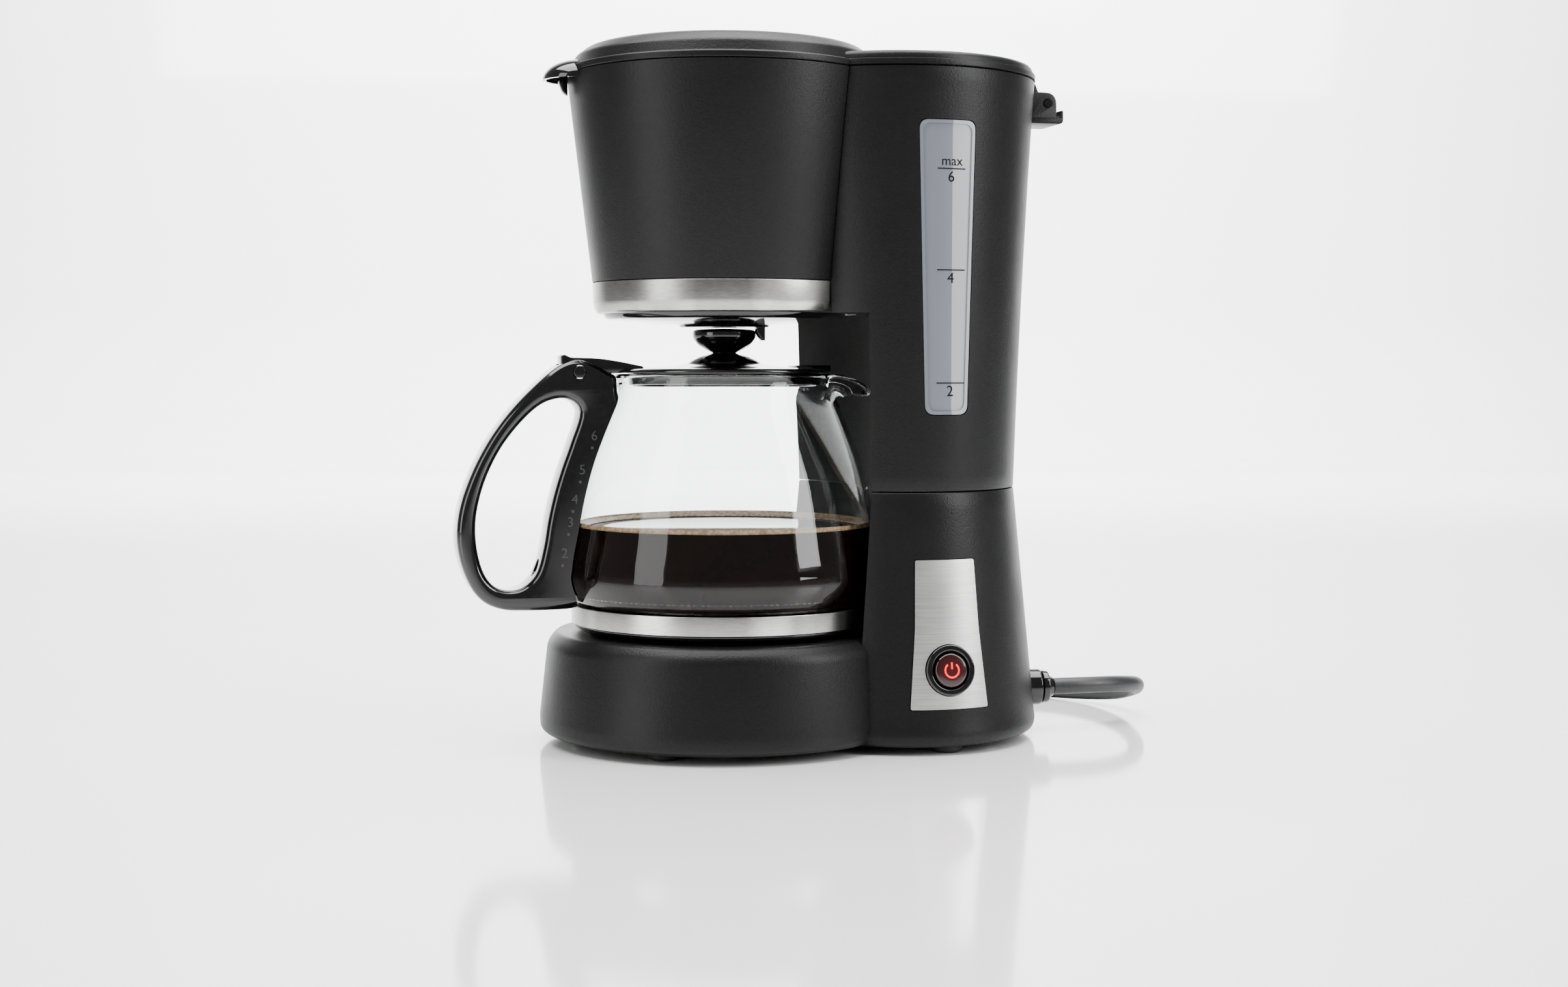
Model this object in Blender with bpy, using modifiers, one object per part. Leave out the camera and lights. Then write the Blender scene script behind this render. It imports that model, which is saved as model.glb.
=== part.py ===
"""Drip coffee maker with a figure-eight plan: a round brewing tower in front of an oval water tank.

Sizes are in millimetres and the helpers turn them into metres. Z is up. The row's origin is on the floor,
in the middle of the box round the machine without its mains lead. The brewing axis is at x = BREW_X and the
water tank's axis at x = TANK_X. The jug's handle points towards -X and the lid's hinge is at the +X end.
"""

import math

import bmesh
import bpy
from mathutils import Matrix, Vector

MM = 0.001

# Driving dimensions
BREW_X = -18.0
TANK_X = BREW_X + 66.6
BASE_R = 70.5
WALL = 2.5
GAP = 0.3
FOOT_H = 2.7
BASE_BOTTOM = 3.0
BASE_TOP = 41.1
PLATE_TOP = 41.4
JUG_BOTTOM = 41.7
TANK_BOTTOM = 95.0
BAY_R = 65.5
BAY_TOP = 161.2
HOUSING_TOP = 251.5
LID_BOTTOM = 251.8
BREW_TOP_R = 60.1
BREW_LOW_R = 50.4
BAND_LOW = 161.2
BAND_TOP = 173.0
HINGE = (BREW_X + 128.8, 0.0, 245.2)
JUG_PIN = (BREW_X - 57.5, 0.0, 139.3)
GAUGE_X = BREW_X + 71.0
SWITCH = (BREW_X + 69.5, -62.8, 30.7)
SWITCH_TILT = math.radians(6.9)
RISER = (BREW_X + 72.0, 0.0)
VALVE = (BREW_X + 84.0, 20.0)
CORD_D = 6.4
CORD_EXIT = (BREW_X + 127.8, -17.9, 16.5)
COIL = (BREW_X + 75.0, 116.0)
COIL_R = (28.3, 42.0)
GLASS_LEVELS = (134.6, 131.4, 128.0, 121.6, 103.0, 80.0, 61.5, 51.6, 43.6)
SPOUT_FOOT = 126.5
SPOUT_RISE = 10.5
SPOUT_REACH = 16.0
SPOUT_DROP = 6.5
STEPS = 28
SIDES = 36


# Helpers

def clear_scene():
    for obj in list(bpy.data.objects):
        bpy.data.objects.remove(obj, do_unlink=True)


def new_collection(name, hidden=False):
    collection = bpy.data.collections.new(name)
    collection.hide_render = hidden
    bpy.context.scene.collection.children.link(collection)
    return collection


def material(name, colour, roughness, metallic=0.0, transmission=0.0):
    found = bpy.data.materials.get(name)
    if found:
        return found
    made = bpy.data.materials.new(name)
    made.use_nodes = True
    shader = made.node_tree.nodes["Principled BSDF"]
    shader.inputs["Base Color"].default_value = (*colour, 1.0)
    shader.inputs["Roughness"].default_value = roughness
    shader.inputs["Metallic"].default_value = metallic
    shader.inputs["Transmission Weight"].default_value = transmission
    return made


def place(name, data, finish=None, origin=(0.0, 0.0, 0.0), turn=None):
    """An object in the maker's collection, or a hidden cutter when it has no finish."""
    obj = bpy.data.objects.new(name, data)
    obj.location = Vector(origin) * MM
    if turn is not None:
        obj.rotation_mode = "QUATERNION"
        obj.rotation_quaternion = turn
    if finish is None:
        cutters.objects.link(obj)
        obj.hide_render = True
        obj.display_type = "WIRE"
    else:
        maker.objects.link(obj)
        data.materials.append(finish)
    return obj


def towards(direction):
    return Vector((0.0, 0.0, 1.0)).rotation_difference(Vector(direction))


def turned(name, profile, finish=None, origin=(BREW_X, 0.0, 0.0), axis=(0, 0, 1), ring=False, steps=STEPS):
    """A turned body. The profile holds (radius, height) points that run down the outer side."""
    mesh = bpy.data.meshes.new(name)
    points = [(r * MM, 0.0, z * MM) for r, z in profile]
    edges = [(i, i + 1) for i in range(len(points) - 1)]
    if ring:
        edges.append((len(points) - 1, 0))
    mesh.from_pydata(points, edges, [])
    obj = place(name, mesh, finish, origin, towards(axis))
    screw = obj.modifiers.new("Turn", "SCREW")
    screw.steps = steps
    screw.render_steps = steps
    screw.use_merge_vertices = True
    screw.merge_threshold = 0.00001
    return obj


def rod(name, start, end, radius, finish=None, sides=16):
    """A plain round bar between two points."""
    start = Vector(start)
    end = Vector(end)
    mesh = bpy.data.meshes.new(name)
    shape = bmesh.new()
    length = (end - start).length
    lift = Matrix.Translation((0.0, 0.0, length * MM / 2))
    bmesh.ops.create_cone(
        shape, cap_ends=True, segments=sides, radius1=radius * MM, radius2=radius * MM,
        depth=length * MM, matrix=lift,
    )
    shape.to_mesh(mesh)
    shape.free()
    mesh.shade_smooth()
    mesh.set_sharp_from_angle(angle=math.radians(40))
    return place(name, mesh, finish, start, towards(end - start))


def block(name, low, high, finish=None, bevel=0.0):
    """A box between two corners, its edges rounded when bevel is given."""
    low = Vector(low)
    high = Vector(high)
    mesh = bpy.data.meshes.new(name)
    shape = bmesh.new()
    size = (high - low) * MM
    bmesh.ops.create_cube(shape, size=1.0, matrix=Matrix.Diagonal((*size, 1.0)))
    shape.to_mesh(mesh)
    shape.free()
    obj = place(name, mesh, finish, (low + high) / 2)
    if bevel:
        rounding = obj.modifiers.new("Rounding", "BEVEL")
        rounding.width = bevel * MM
        rounding.segments = 2
    return obj


def lobe(name, sections, finish=None, grow=0.0, centre=TANK_X):
    """A loft through ellipses: each section is (height, half length along X, half width along Y)."""
    shape = bmesh.new()
    rings = []
    for z, rx, ry in sections:
        ring = []
        for i in range(SIDES):
            angle = 2 * math.pi * i / SIDES
            x = (rx + grow) * math.cos(angle)
            y = (ry + grow) * math.sin(angle)
            ring.append(shape.verts.new((x * MM, y * MM, z * MM)))
        rings.append(ring)
    for lower, upper in zip(rings, rings[1:]):
        for i in range(SIDES):
            j = (i + 1) % SIDES
            shape.faces.new((lower[i], lower[j], upper[j], upper[i]))
    shape.faces.new(list(reversed(rings[0])))
    shape.faces.new(rings[-1])
    mesh = bpy.data.meshes.new(name)
    shape.to_mesh(mesh)
    shape.free()
    mesh.shade_smooth()
    mesh.set_sharp_from_angle(angle=math.radians(30))
    return place(name, mesh, finish, (centre, 0.0, 0.0))


def smooth_path(points, per_span, closed=False):
    """Points along a Catmull-Rom curve through the given points."""
    vectors = [Vector(p) for p in points]
    count = len(vectors)
    spans = count if closed else count - 1
    out = []
    for i in range(spans):
        p1 = vectors[i]
        p2 = vectors[(i + 1) % count]
        p0 = vectors[i - 1] if closed or i else p1 * 2 - p2
        p3 = vectors[(i + 2) % count] if closed or i + 2 < count else p2 * 2 - p1
        for step in range(per_span):
            t = step / per_span
            a = p1 * 2
            b = p2 - p0
            c = p0 * 2 - p1 * 5 + p2 * 4 - p3
            d = p1 * 3 - p0 - p2 * 3 + p3
            out.append((a + b * t + c * t * t + d * t * t * t) / 2)
    if not closed:
        out.append(vectors[-1])
    return out


def rounded(corners, radius, per_corner=3):
    """A closed outline with each corner turned into an arc-like curve."""
    out = []
    count = len(corners)
    for i in range(count):
        here = Vector(corners[i])
        back = (Vector(corners[i - 1]) - here).normalized() * radius
        ahead = (Vector(corners[(i + 1) % count]) - here).normalized() * radius
        for step in range(per_corner + 1):
            t = step / per_corner
            out.append(here + back * (1 - t) ** 2 + ahead * t ** 2)
    return out


def curve_solid(name, curve, matrix, finish):
    """The curve's evaluated mesh with its caps welded, as an object of its own."""
    guide = bpy.data.objects.new(name + "_guide", curve)
    bpy.context.scene.collection.objects.link(guide)
    bpy.context.view_layer.update()
    graph = bpy.context.evaluated_depsgraph_get()
    mesh = bpy.data.meshes.new_from_object(guide.evaluated_get(graph))
    bpy.data.objects.remove(guide)
    shape = bmesh.new()
    shape.from_mesh(mesh)
    bmesh.ops.remove_doubles(shape, verts=shape.verts, dist=0.000005)
    bmesh.ops.recalc_face_normals(shape, faces=shape.faces)
    shape.to_mesh(mesh)
    shape.free()
    mesh.materials.clear()
    mesh.name = name
    mesh.shade_smooth()
    mesh.set_sharp_from_angle(angle=math.radians(40))
    obj = place(name, mesh, finish)
    obj.matrix_world = matrix
    return obj


def slab(name, outlines, middle, width, finish=None, round_edge=0.0):
    """A flat piece in an XZ plane at y = middle. Outlines are (x, z) loops; the later ones are holes."""
    curve = bpy.data.curves.new(name, "CURVE")
    curve.dimensions = "2D"
    curve.fill_mode = "BOTH"
    curve.extrude = (width / 2 - round_edge) * MM
    curve.bevel_depth = round_edge * MM
    curve.offset = -round_edge * MM
    curve.bevel_resolution = 0
    for outline in outlines:
        spline = curve.splines.new("POLY")
        spline.points.add(len(outline) - 1)
        for point, (x, z) in zip(spline.points, outline):
            point.co = (x * MM, z * MM, 0.0, 1.0)
        spline.use_cyclic_u = True
    upright = Matrix.Translation((0.0, middle * MM, 0.0)) @ Matrix.Rotation(math.pi / 2, 4, "X")
    return curve_solid(name, curve, upright, finish)


def tube(name, points, diameter, finish, resolution=2):
    """A round bar along a smooth route of points."""
    curve = bpy.data.curves.new(name, "CURVE")
    curve.dimensions = "3D"
    curve.bevel_depth = diameter / 2 * MM
    curve.bevel_resolution = resolution
    curve.use_fill_caps = True
    spline = curve.splines.new("POLY")
    spline.points.add(len(points) - 1)
    for point, place_mm in zip(spline.points, points):
        point.co = (*(Vector(place_mm) * MM), 1.0)
    return curve_solid(name, curve, Matrix.Identity(4), finish)


def boolean(obj, other, operation):
    step = obj.modifiers.new(operation.title() + " " + other.name, "BOOLEAN")
    step.operation = operation
    step.object = other
    step.solver = "EXACT"


def cut(obj, *others):
    for other in others:
        boolean(obj, other, "DIFFERENCE")


def join(obj, *others):
    for other in others:
        boolean(obj, other, "UNION")


def keep_inside(obj, other):
    boolean(obj, other, "INTERSECT")


def hang(axis_name, origin, pieces):
    """Parents the pieces to an empty on their joint's axis, and leaves them where they are."""
    axis = bpy.data.objects.new(axis_name, None)
    axis.location = Vector(origin) * MM
    maker.objects.link(axis)
    for piece in pieces:
        piece.parent = axis
        piece.matrix_parent_inverse = Matrix.Translation(Vector(origin) * -MM)


# Finishes

def matte_black():
    return material("matte_black_plastic", (0.022, 0.022, 0.023), 0.48)


def gloss_black():
    return material("gloss_black_plastic", (0.008, 0.008, 0.009), 0.12)


def dark_inner():
    return material("inner_plastic", (0.035, 0.035, 0.037), 0.55)


def satin_steel():
    return material("satin_steel", (0.62, 0.61, 0.60), 0.32, metallic=1.0)


def aluminium():
    return material("cast_aluminium", (0.55, 0.55, 0.56), 0.45, metallic=1.0)


def clear_glass():
    return material("clear_glass", (0.95, 0.97, 0.97), 0.02, transmission=1.0)


def tank_window():
    return material("tank_window", (0.55, 0.58, 0.62), 0.25, transmission=0.5)


def soft_rubber():
    return material("soft_rubber", (0.03, 0.03, 0.03), 0.75)


def silicone():
    return material("silicone_hose", (0.72, 0.71, 0.68), 0.5)


def filter_mesh():
    return material("filter_mesh", (0.35, 0.28, 0.16), 0.5)


def lit_button():
    return material("lit_button", (0.10, 0.012, 0.012), 0.2)


# Shared shapes

def tank_sections():
    """Ellipses of the upper tank housing, which widens upwards faster and faster."""
    sections = []
    for z in (TANK_BOTTOM + GAP, 120.0, 150.0, 180.0, 210.0, 235.0, HOUSING_TOP):
        s = (z - TANK_BOTTOM) / (HOUSING_TOP - TANK_BOTTOM)
        t = 0.7 * s + 0.3 * s * s
        sections.append((z, 46.9 + 9.1 * t, 55.1 + 3.1 * t))
    return sections


def column_sections():
    """Ellipses of the lower body behind the jug, which widens downwards."""
    return [
        (BASE_BOTTOM, 52.2, 63.4),
        (4.0, 53.9, 65.1),
        (6.0, 54.7, 65.9),
        (9.0, 54.45, 65.55),
        (50.0, 50.85, 60.55),
        (TANK_BOTTOM, 46.9, 55.1),
    ]


def stretched(sections, low, high):
    """The same ellipses with the first and last moved to new heights."""
    first = (low, *sections[0][1:])
    last = (high, *sections[-1][1:])
    return [first, *sections[1:-1], last]


def bay_cutter(name, radius, low, high):
    return turned(name, [(0, high), (radius, high), (radius, low), (0, low)])


def brew_cutter(name, grow, low, high):
    """The space of the brewing tower, seen from the tank."""
    slope = (BREW_TOP_R - BREW_LOW_R) / (HOUSING_TOP - BAND_TOP)
    top_r = BREW_TOP_R + (high - HOUSING_TOP) * slope + grow
    low_r = BREW_LOW_R + grow
    profile = [(0, high), (top_r, high), (low_r, BAND_TOP + GAP), (low_r, low), (0, low)]
    return turned(name, profile)


def window_outline(inset):
    """The gauge window's outline, wider at its top."""
    top = 11.5 - inset
    low = 8.7 - inset
    corners = [
        (GAUGE_X - low, 123.3 + inset),
        (GAUGE_X + low, 123.3 + inset),
        (GAUGE_X + top, 232.1 - inset),
        (GAUGE_X - top, 232.1 - inset),
    ]
    return rounded(corners, 3.5)


def plate_outline(inset):
    """The switch plate's outline, wider at its bottom."""
    top = 11.6 - inset
    low = 15.2 - inset
    corners = [
        (GAUGE_X - 1.5 - low, 16.8 + inset),
        (GAUGE_X - 1.5 + low, 16.8 + inset),
        (GAUGE_X - 1.5 + top, 70.5 - inset),
        (GAUGE_X - 1.5 - top, 70.5 - inset),
    ]
    return rounded(corners, 0.8, 2)


def switch_axis():
    """The way the button is pressed, into the body and slightly down."""
    return Vector((0.0, math.cos(SWITCH_TILT), -math.sin(SWITCH_TILT)))


def on_switch_axis(depth):
    return Vector(SWITCH) + switch_axis() * depth


# Base and column

def screw_places():
    return [(BREW_X - 56.5, 0.0), (BREW_X + 92.0, 40.0), (BREW_X + 92.0, -40.0)]


def foot_places():
    left = [(BREW_X - 33.0, side * 45.0) for side in (-1, 1)]
    right = [(BREW_X + 71.0, side * 55.0) for side in (-1, 1)]
    return left + right


def base_housing():
    profile = [
        (0, BASE_TOP), (64.0, BASE_TOP), (65.2, 40.4), (67.3, 37.5), (70.3, 9.0), (BASE_R, 6.6),
        (69.9, 4.8), (68.4, 3.6), (66.2, BASE_BOTTOM), (0, BASE_BOTTOM),
    ]
    base = turned("base_housing", profile, matte_black())
    column = lobe("cut_column_outer", column_sections())
    cut(column, bay_cutter("cut_bay_low", BAY_R, 38.0, 100.0))
    join(base, column)
    inner_profile = [
        (0, 37.0), (56.0, 37.0), (57.2, 38.4), (62.6, 38.4), (64.6, 36.6), (67.7, 8.6), (63.8, 6.0),
        (63.8, 2.0), (0, 2.0),
    ]
    cut(base, turned("cut_base_inner", inner_profile))
    inner_sections = [(2.0, 50.1, 61.3), (6.0, 50.1, 61.3), (8.6, 52.0, 63.1), (92.5, 44.6, 52.8)]
    inner = lobe("cut_column_inner", inner_sections)
    cut(inner, bay_cutter("cut_bay_wall", BAY_R + WALL, 35.4, 100.0))
    cut(base, inner)
    recess = [(0, 45.0), (52.9, 45.0), (52.9, 38.6), (49.5, 38.6), (49.5, 35.0), (0, 35.0)]
    cut(base, turned("cut_plate_recess", recess))
    for number, (x, y) in enumerate(screw_places(), 1):
        top = 37.8 if x < 0 else 93.5
        join(base, rod(f"add_boss_{number}", (x, y, 5.6), (x, y, top), 4.0, sides=12))
        cut(base, rod(f"cut_boss_{number}", (x, y, 5.0), (x, y, 17.5), 1.8, sides=12))
    cut(base, rod("cut_valve_top", (*VALVE, 91.0), (*VALVE, 97.0), 5.4))
    cut(base, rod("cut_riser_top", (*RISER, 91.0), (*RISER, 97.0), 3.5))
    cut(base, rod("cut_switch", on_switch_axis(-6), on_switch_axis(9), 9.5, sides=32))
    cut(base, plate_pocket())
    cut(base, rod("cut_gland", gland_point(-8), gland_point(8), 7.3))
    return base


def plate_pocket():
    """A shallow pocket that the switch plate lies in."""
    pocket = slab("cut_plate_pocket", [plate_outline(-0.3)], -62.0, 24.0)
    cut(pocket, lobe("cut_pocket_floor", column_sections(), grow=-0.9))
    return pocket


def switch_plate():
    plate = slab("switch_plate", [plate_outline(0.0)], -62.0, 24.0, satin_steel())
    keep_inside(plate, lobe("keep_plate_outer", column_sections(), grow=0.5))
    cut(plate, lobe("cut_plate_back", column_sections(), grow=-0.6))
    cut(plate, rod("cut_plate_hole", on_switch_axis(-6), on_switch_axis(9), 9.5, sides=32))
    return plate


def bottom_cover():
    disc = [(0, 5.0), (63.4, 5.0), (63.4, BASE_BOTTOM + 0.1), (0, BASE_BOTTOM + 0.1)]
    cover = turned("bottom_cover", disc, dark_inner())
    join(cover, lobe("add_cover_lobe", [(3.1, 49.7, 60.9), (5.0, 49.7, 60.9)]))
    for number, (x, y) in enumerate(screw_places(), 1):
        cut(cover, rod(f"cut_cover_{number}", (x, y, 2.0), (x, y, 6.0), 1.8, sides=12))
    return cover


def feet():
    for number, (x, y) in enumerate(foot_places(), 1):
        profile = [(0, FOOT_H), (5.7, FOOT_H), (5.7, 0.8), (4.9, 0), (0, 0)]
        turned(f"foot_{number}", profile, soft_rubber(), (x, y, 0.0), steps=16)


def bottom_screws():
    for number, (x, y) in enumerate(screw_places(), 1):
        profile = [(0, 16.5), (1.5, 16.5), (1.5, 2.8), (3.2, 2.8), (3.2, 1.6), (2.4, 0.9), (0, 0.9)]
        turned(f"bottom_screw_{number}", profile, satin_steel(), (x, y, 0.0), steps=12)


# Heater

def hot_plate():
    profile = [
        (0, PLATE_TOP), (51.6, PLATE_TOP), (52.5, 40.6), (52.5, 38.9), (49.1, 38.9), (48.6, 37.0),
        (0, 37.0),
    ]
    plate = turned("hot_plate", profile, material("dark_coated_steel", (0.05, 0.05, 0.05), 0.35))
    cut(plate, rod("cut_plate_stud", (BREW_X, 0, 35), (BREW_X, 0, 39.6), 1.8, sides=12))
    return plate


def heater():
    """A horseshoe of cast tube under the hot plate, with both ends towards the tank."""
    height = 32.6
    bend_r = 30.0
    start = math.radians(25)
    turns = 16
    route = [(BREW_X + 50.0, bend_r * math.sin(start), height)]
    for i in range(turns + 1):
        angle = start + (2 * math.pi - 2 * start) * i / turns
        route.append((BREW_X + bend_r * math.cos(angle), bend_r * math.sin(angle), height))
    route.append((BREW_X + 50.0, -bend_r * math.sin(start), height))
    tube("heater_tube", route, 8.0, aluminium())
    clamp = block("heater_clamp", (BREW_X - 38, -6, 26.7), (BREW_X + 38, 6, 28.2), satin_steel(), 0.5)
    cut(clamp, rod("cut_clamp_hole", (BREW_X, 0, 25), (BREW_X, 0, 30), 1.8, sides=12))
    screw = [(0, 39.2), (1.5, 39.2), (1.5, 26.4), (3.4, 26.4), (3.4, 24.6), (2.6, 23.9), (0, 23.9)]
    turned("heater_clamp_screw", screw, satin_steel(), steps=12)
    disc = [(0, 36.7), (7.5, 36.7), (7.5, 33.0), (5.5, 32.4), (5.5, 29.4), (0, 29.4)]
    turned("thermostat", disc, satin_steel(), (BREW_X, 16.0, 0.0), steps=16)
    rod("thermal_fuse", (BREW_X - 8, -15.5, 34), (BREW_X + 8, -15.5, 34), 2.0, satin_steel(), 12)


def water_lines():
    """The non-return valve under the tank, the cold hose, the hot hose and the riser."""
    x, y = VALVE
    body = [
        (7.0, 99.9), (7.0, 98.7), (5.0, 98.7), (5.0, 83.0), (2.0, 83.0), (2.0, 84.0), (3.4, 84.4),
        (3.4, 91.6), (2.0, 92.0), (2.0, 93.0), (3.4, 93.6), (3.4, 99.9),
    ]
    turned("check_valve_body", body, dark_inner(), (x, y, 0.0), ring=True, steps=14)
    centre_z = 84.2 + math.sqrt(2.9 ** 2 - 2.0 ** 2) + GAP
    ball = bpy.data.meshes.new("check_ball")
    shape = bmesh.new()
    bmesh.ops.create_uvsphere(shape, u_segments=12, v_segments=8, radius=2.9 * MM)
    shape.to_mesh(ball)
    shape.free()
    ball.shade_smooth()
    place("check_ball", ball, satin_steel(), (x, y, centre_z))
    end_y = 30.0 * math.sin(math.radians(25))
    cold = [
        (x, y, 82.6), (x, y, 72), (x, y - 1, 56), (x - 2, y - 3, 41), (x - 9, y - 6, 32.6),
        (x - 20, end_y, 31.2), (BREW_X + 54.5, end_y, 32.4), (BREW_X + 50.4, end_y, 32.6),
    ]
    tube("cold_water_hose", smooth_path(cold, 2), 6.4, silicone())
    riser_x, riser_y = RISER
    hot = [
        (BREW_X + 50.4, -end_y, 32.6), (BREW_X + 54.5, -end_y, 32.4), (riser_x - 7, -end_y + 1, 31.2),
        (riser_x + 2, -8.5, 34.4), (riser_x + 2.4, -3.5, 42), (riser_x + 0.6, -0.6, 51),
        (riser_x, riser_y, 59.6),
    ]
    tube("hot_water_hose", smooth_path(hot, 3), 6.4, silicone())
    rod("riser_tube", (*RISER, 60.0), (*RISER, 249.4), 3.0, silicone(), 16)


# Tank and brewing tower

def tank_housing():
    tank = lobe("tank_housing", tank_sections(), matte_black())
    cut(tank, bay_cutter("cut_bay_high", BAY_R, 90.0, BAY_TOP))
    cut(tank, brew_cutter("cut_brew_space", GAP, 160.0, 253.0))
    join(tank, hinge_bracket())
    inner = lobe("cut_tank_inner", stretched(tank_sections(), 98.3, 253.0), grow=-2.8)
    cut(inner, bay_cutter("cut_tank_bay", BAY_R + 2.8, 90.0, BAY_TOP + 2.8))
    cut(inner, brew_cutter("cut_tank_brew", GAP + 2.6, 160.0, 254.0))
    cut(tank, inner)
    cut(tank, slab("cut_window", [window_outline(0.0)], -58.0, 20.0))
    cut(tank, rod("cut_valve_floor", (*VALVE, 94.0), (*VALVE, 100.0), 5.4))
    cut(tank, rod("cut_riser_floor", (*RISER, 94.0), (*RISER, 100.0), 3.5))
    pin_x, _, pin_z = HINGE
    cut(tank, rod("cut_hinge_ears", (pin_x, -12, pin_z), (pin_x, 12, pin_z), 1.8))
    return tank


def hinge_bracket():
    """Two ears and a shelf with an upturned lip behind the tank."""
    x0 = BREW_X + 120.7
    shelf = slab(
        "add_hinge_shelf",
        [[(x0, 237.2), (BREW_X + 134.4, 237.2), (BREW_X + 135.5, 238.4), (BREW_X + 135.5, 242.5),
          (BREW_X + 134.2, 242.5), (BREW_X + 133.8, 240.0), (x0, 239.8)]],
        0.0, 20.0,
    )
    ear = [(x0, 237.5), (BREW_X + 132.6, 237.5), (BREW_X + 132.6, 246.5), (BREW_X + 131.6, 248.7),
           (BREW_X + 129.6, 249.5), (x0, 249.5)]
    join(shelf, slab("add_ear_front", [ear], -8.5, 3.0), slab("add_ear_back", [ear], 8.5, 3.0))
    return shelf


def water_window():
    """The clear gauge, a curved pane set just behind the housing's face."""
    window = slab("water_window", [window_outline(GAP)], -58.0, 20.0, tank_window())
    pane = stretched(tank_sections(), 94.0, 253.0)
    keep_inside(window, lobe("keep_window_outer", pane, grow=-0.25))
    cut(window, lobe("cut_window_back", pane, grow=-2.4))
    return window


def filter_housing():
    """The round tower that holds the filter, a cone shell with a dished floor."""
    profile = [
        (BREW_TOP_R, HOUSING_TOP), (BREW_LOW_R, BAND_TOP + GAP), (47.2, BAND_TOP + GAP), (46.6, 161.0),
        (45.0, 159.0), (17.2, 157.2), (16.7, 156.3), (8.0, 156.3), (8.0, 159.4), (40.0, 161.6),
        (44.4, 164.5), (47.7, 176.0), (BREW_TOP_R - WALL, HOUSING_TOP),
    ]
    housing = turned("filter_housing", profile, matte_black(), ring=True)
    latch = block("add_drip_latch", (BREW_X + 9.9, -12.0, 151.2), (BREW_X + 13.2, -8.2, 158.0), bevel=0.6)
    join(housing, latch)
    return housing


def trim_band():
    profile = [
        (BREW_LOW_R, BAND_TOP), (BREW_LOW_R - 0.5, 163.4), (48.9, 162.0), (47.7, BAND_LOW), (47.1, 161.6),
        (48.2, 164.4), (48.6, BAND_TOP),
    ]
    return turned("trim_band", profile, satin_steel(), ring=True)


def filter_holder():
    profile = [
        (57.0, 250.6), (56.9, 249.2), (54.4, 249.0), (45.4, 172.0), (39.4, 163.4), (7.0, 160.6),
        (7.0, 157.6), (5.3, 157.6), (5.3, 161.3), (2.3, 161.3), (2.3, 162.9), (38.6, 165.6),
        (43.6, 172.4), (53.0, 250.6),
    ]
    return turned("filter_holder", profile, dark_inner(), ring=True, steps=28)


def permanent_filter():
    profile = [
        (0, 172.0), (37.4, 173.0), (41.2, 179.6), (48.6, 249.8), (52.0, 249.8), (52.0, 248.8), (49.6, 248.6),
        (42.2, 179.2), (38.0, 172.0), (0, 171.0),
    ]
    return turned("permanent_filter", profile, filter_mesh(), steps=28)


def drip_valve():
    """The plunger that the jug's lid holds up, with its return spring."""
    plunger = [
        (0, 167.2), (3.6, 167.2), (4.3, 166.4), (4.3, 165.4), (1.8, 164.9), (1.8, 157.3), (4.7, 157.2),
        (4.7, 156.1), (0, 156.1),
    ]
    turned("drip_valve", plunger, gloss_black(), steps=14)
    turns = 3
    per_turn = 8
    low = 157.95
    high = 160.75
    route = []
    for i in range(turns * per_turn + 1):
        angle = 2 * math.pi * i / per_turn
        z = low + (high - low) * i / (turns * per_turn)
        route.append((BREW_X + 3.7 * math.cos(angle), 3.7 * math.sin(angle), z))
    tube("valve_spring", route, 0.64, satin_steel(), 1)


def water_spout():
    """The arm that carries hot water from the riser over the tower's wall to the middle of the filter."""
    x, y = RISER
    arm = block("water_spout", (BREW_X + 6, -4.5, 252.1), (x + 5.5, 4.5, 255.1), dark_inner(), 1.0)
    join(arm, rod("add_spout_socket", (x, y, 243.0), (x, y, 253.5), 4.8, sides=20))
    join(arm, rod("add_spout_nozzle", (BREW_X + 10.5, 0, 246.0), (BREW_X + 10.5, 0, 253.5), 3.4, sides=12))
    cut(arm, rod("cut_spout_socket", (x, y, 242.0), (x, y, 249.8), 3.3, sides=20))
    cut(arm, rod("cut_spout_nozzle", (BREW_X + 10.5, 0, 245.0), (BREW_X + 10.5, 0, 253.3), 1.9, sides=12))
    return arm


# Lid

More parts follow.
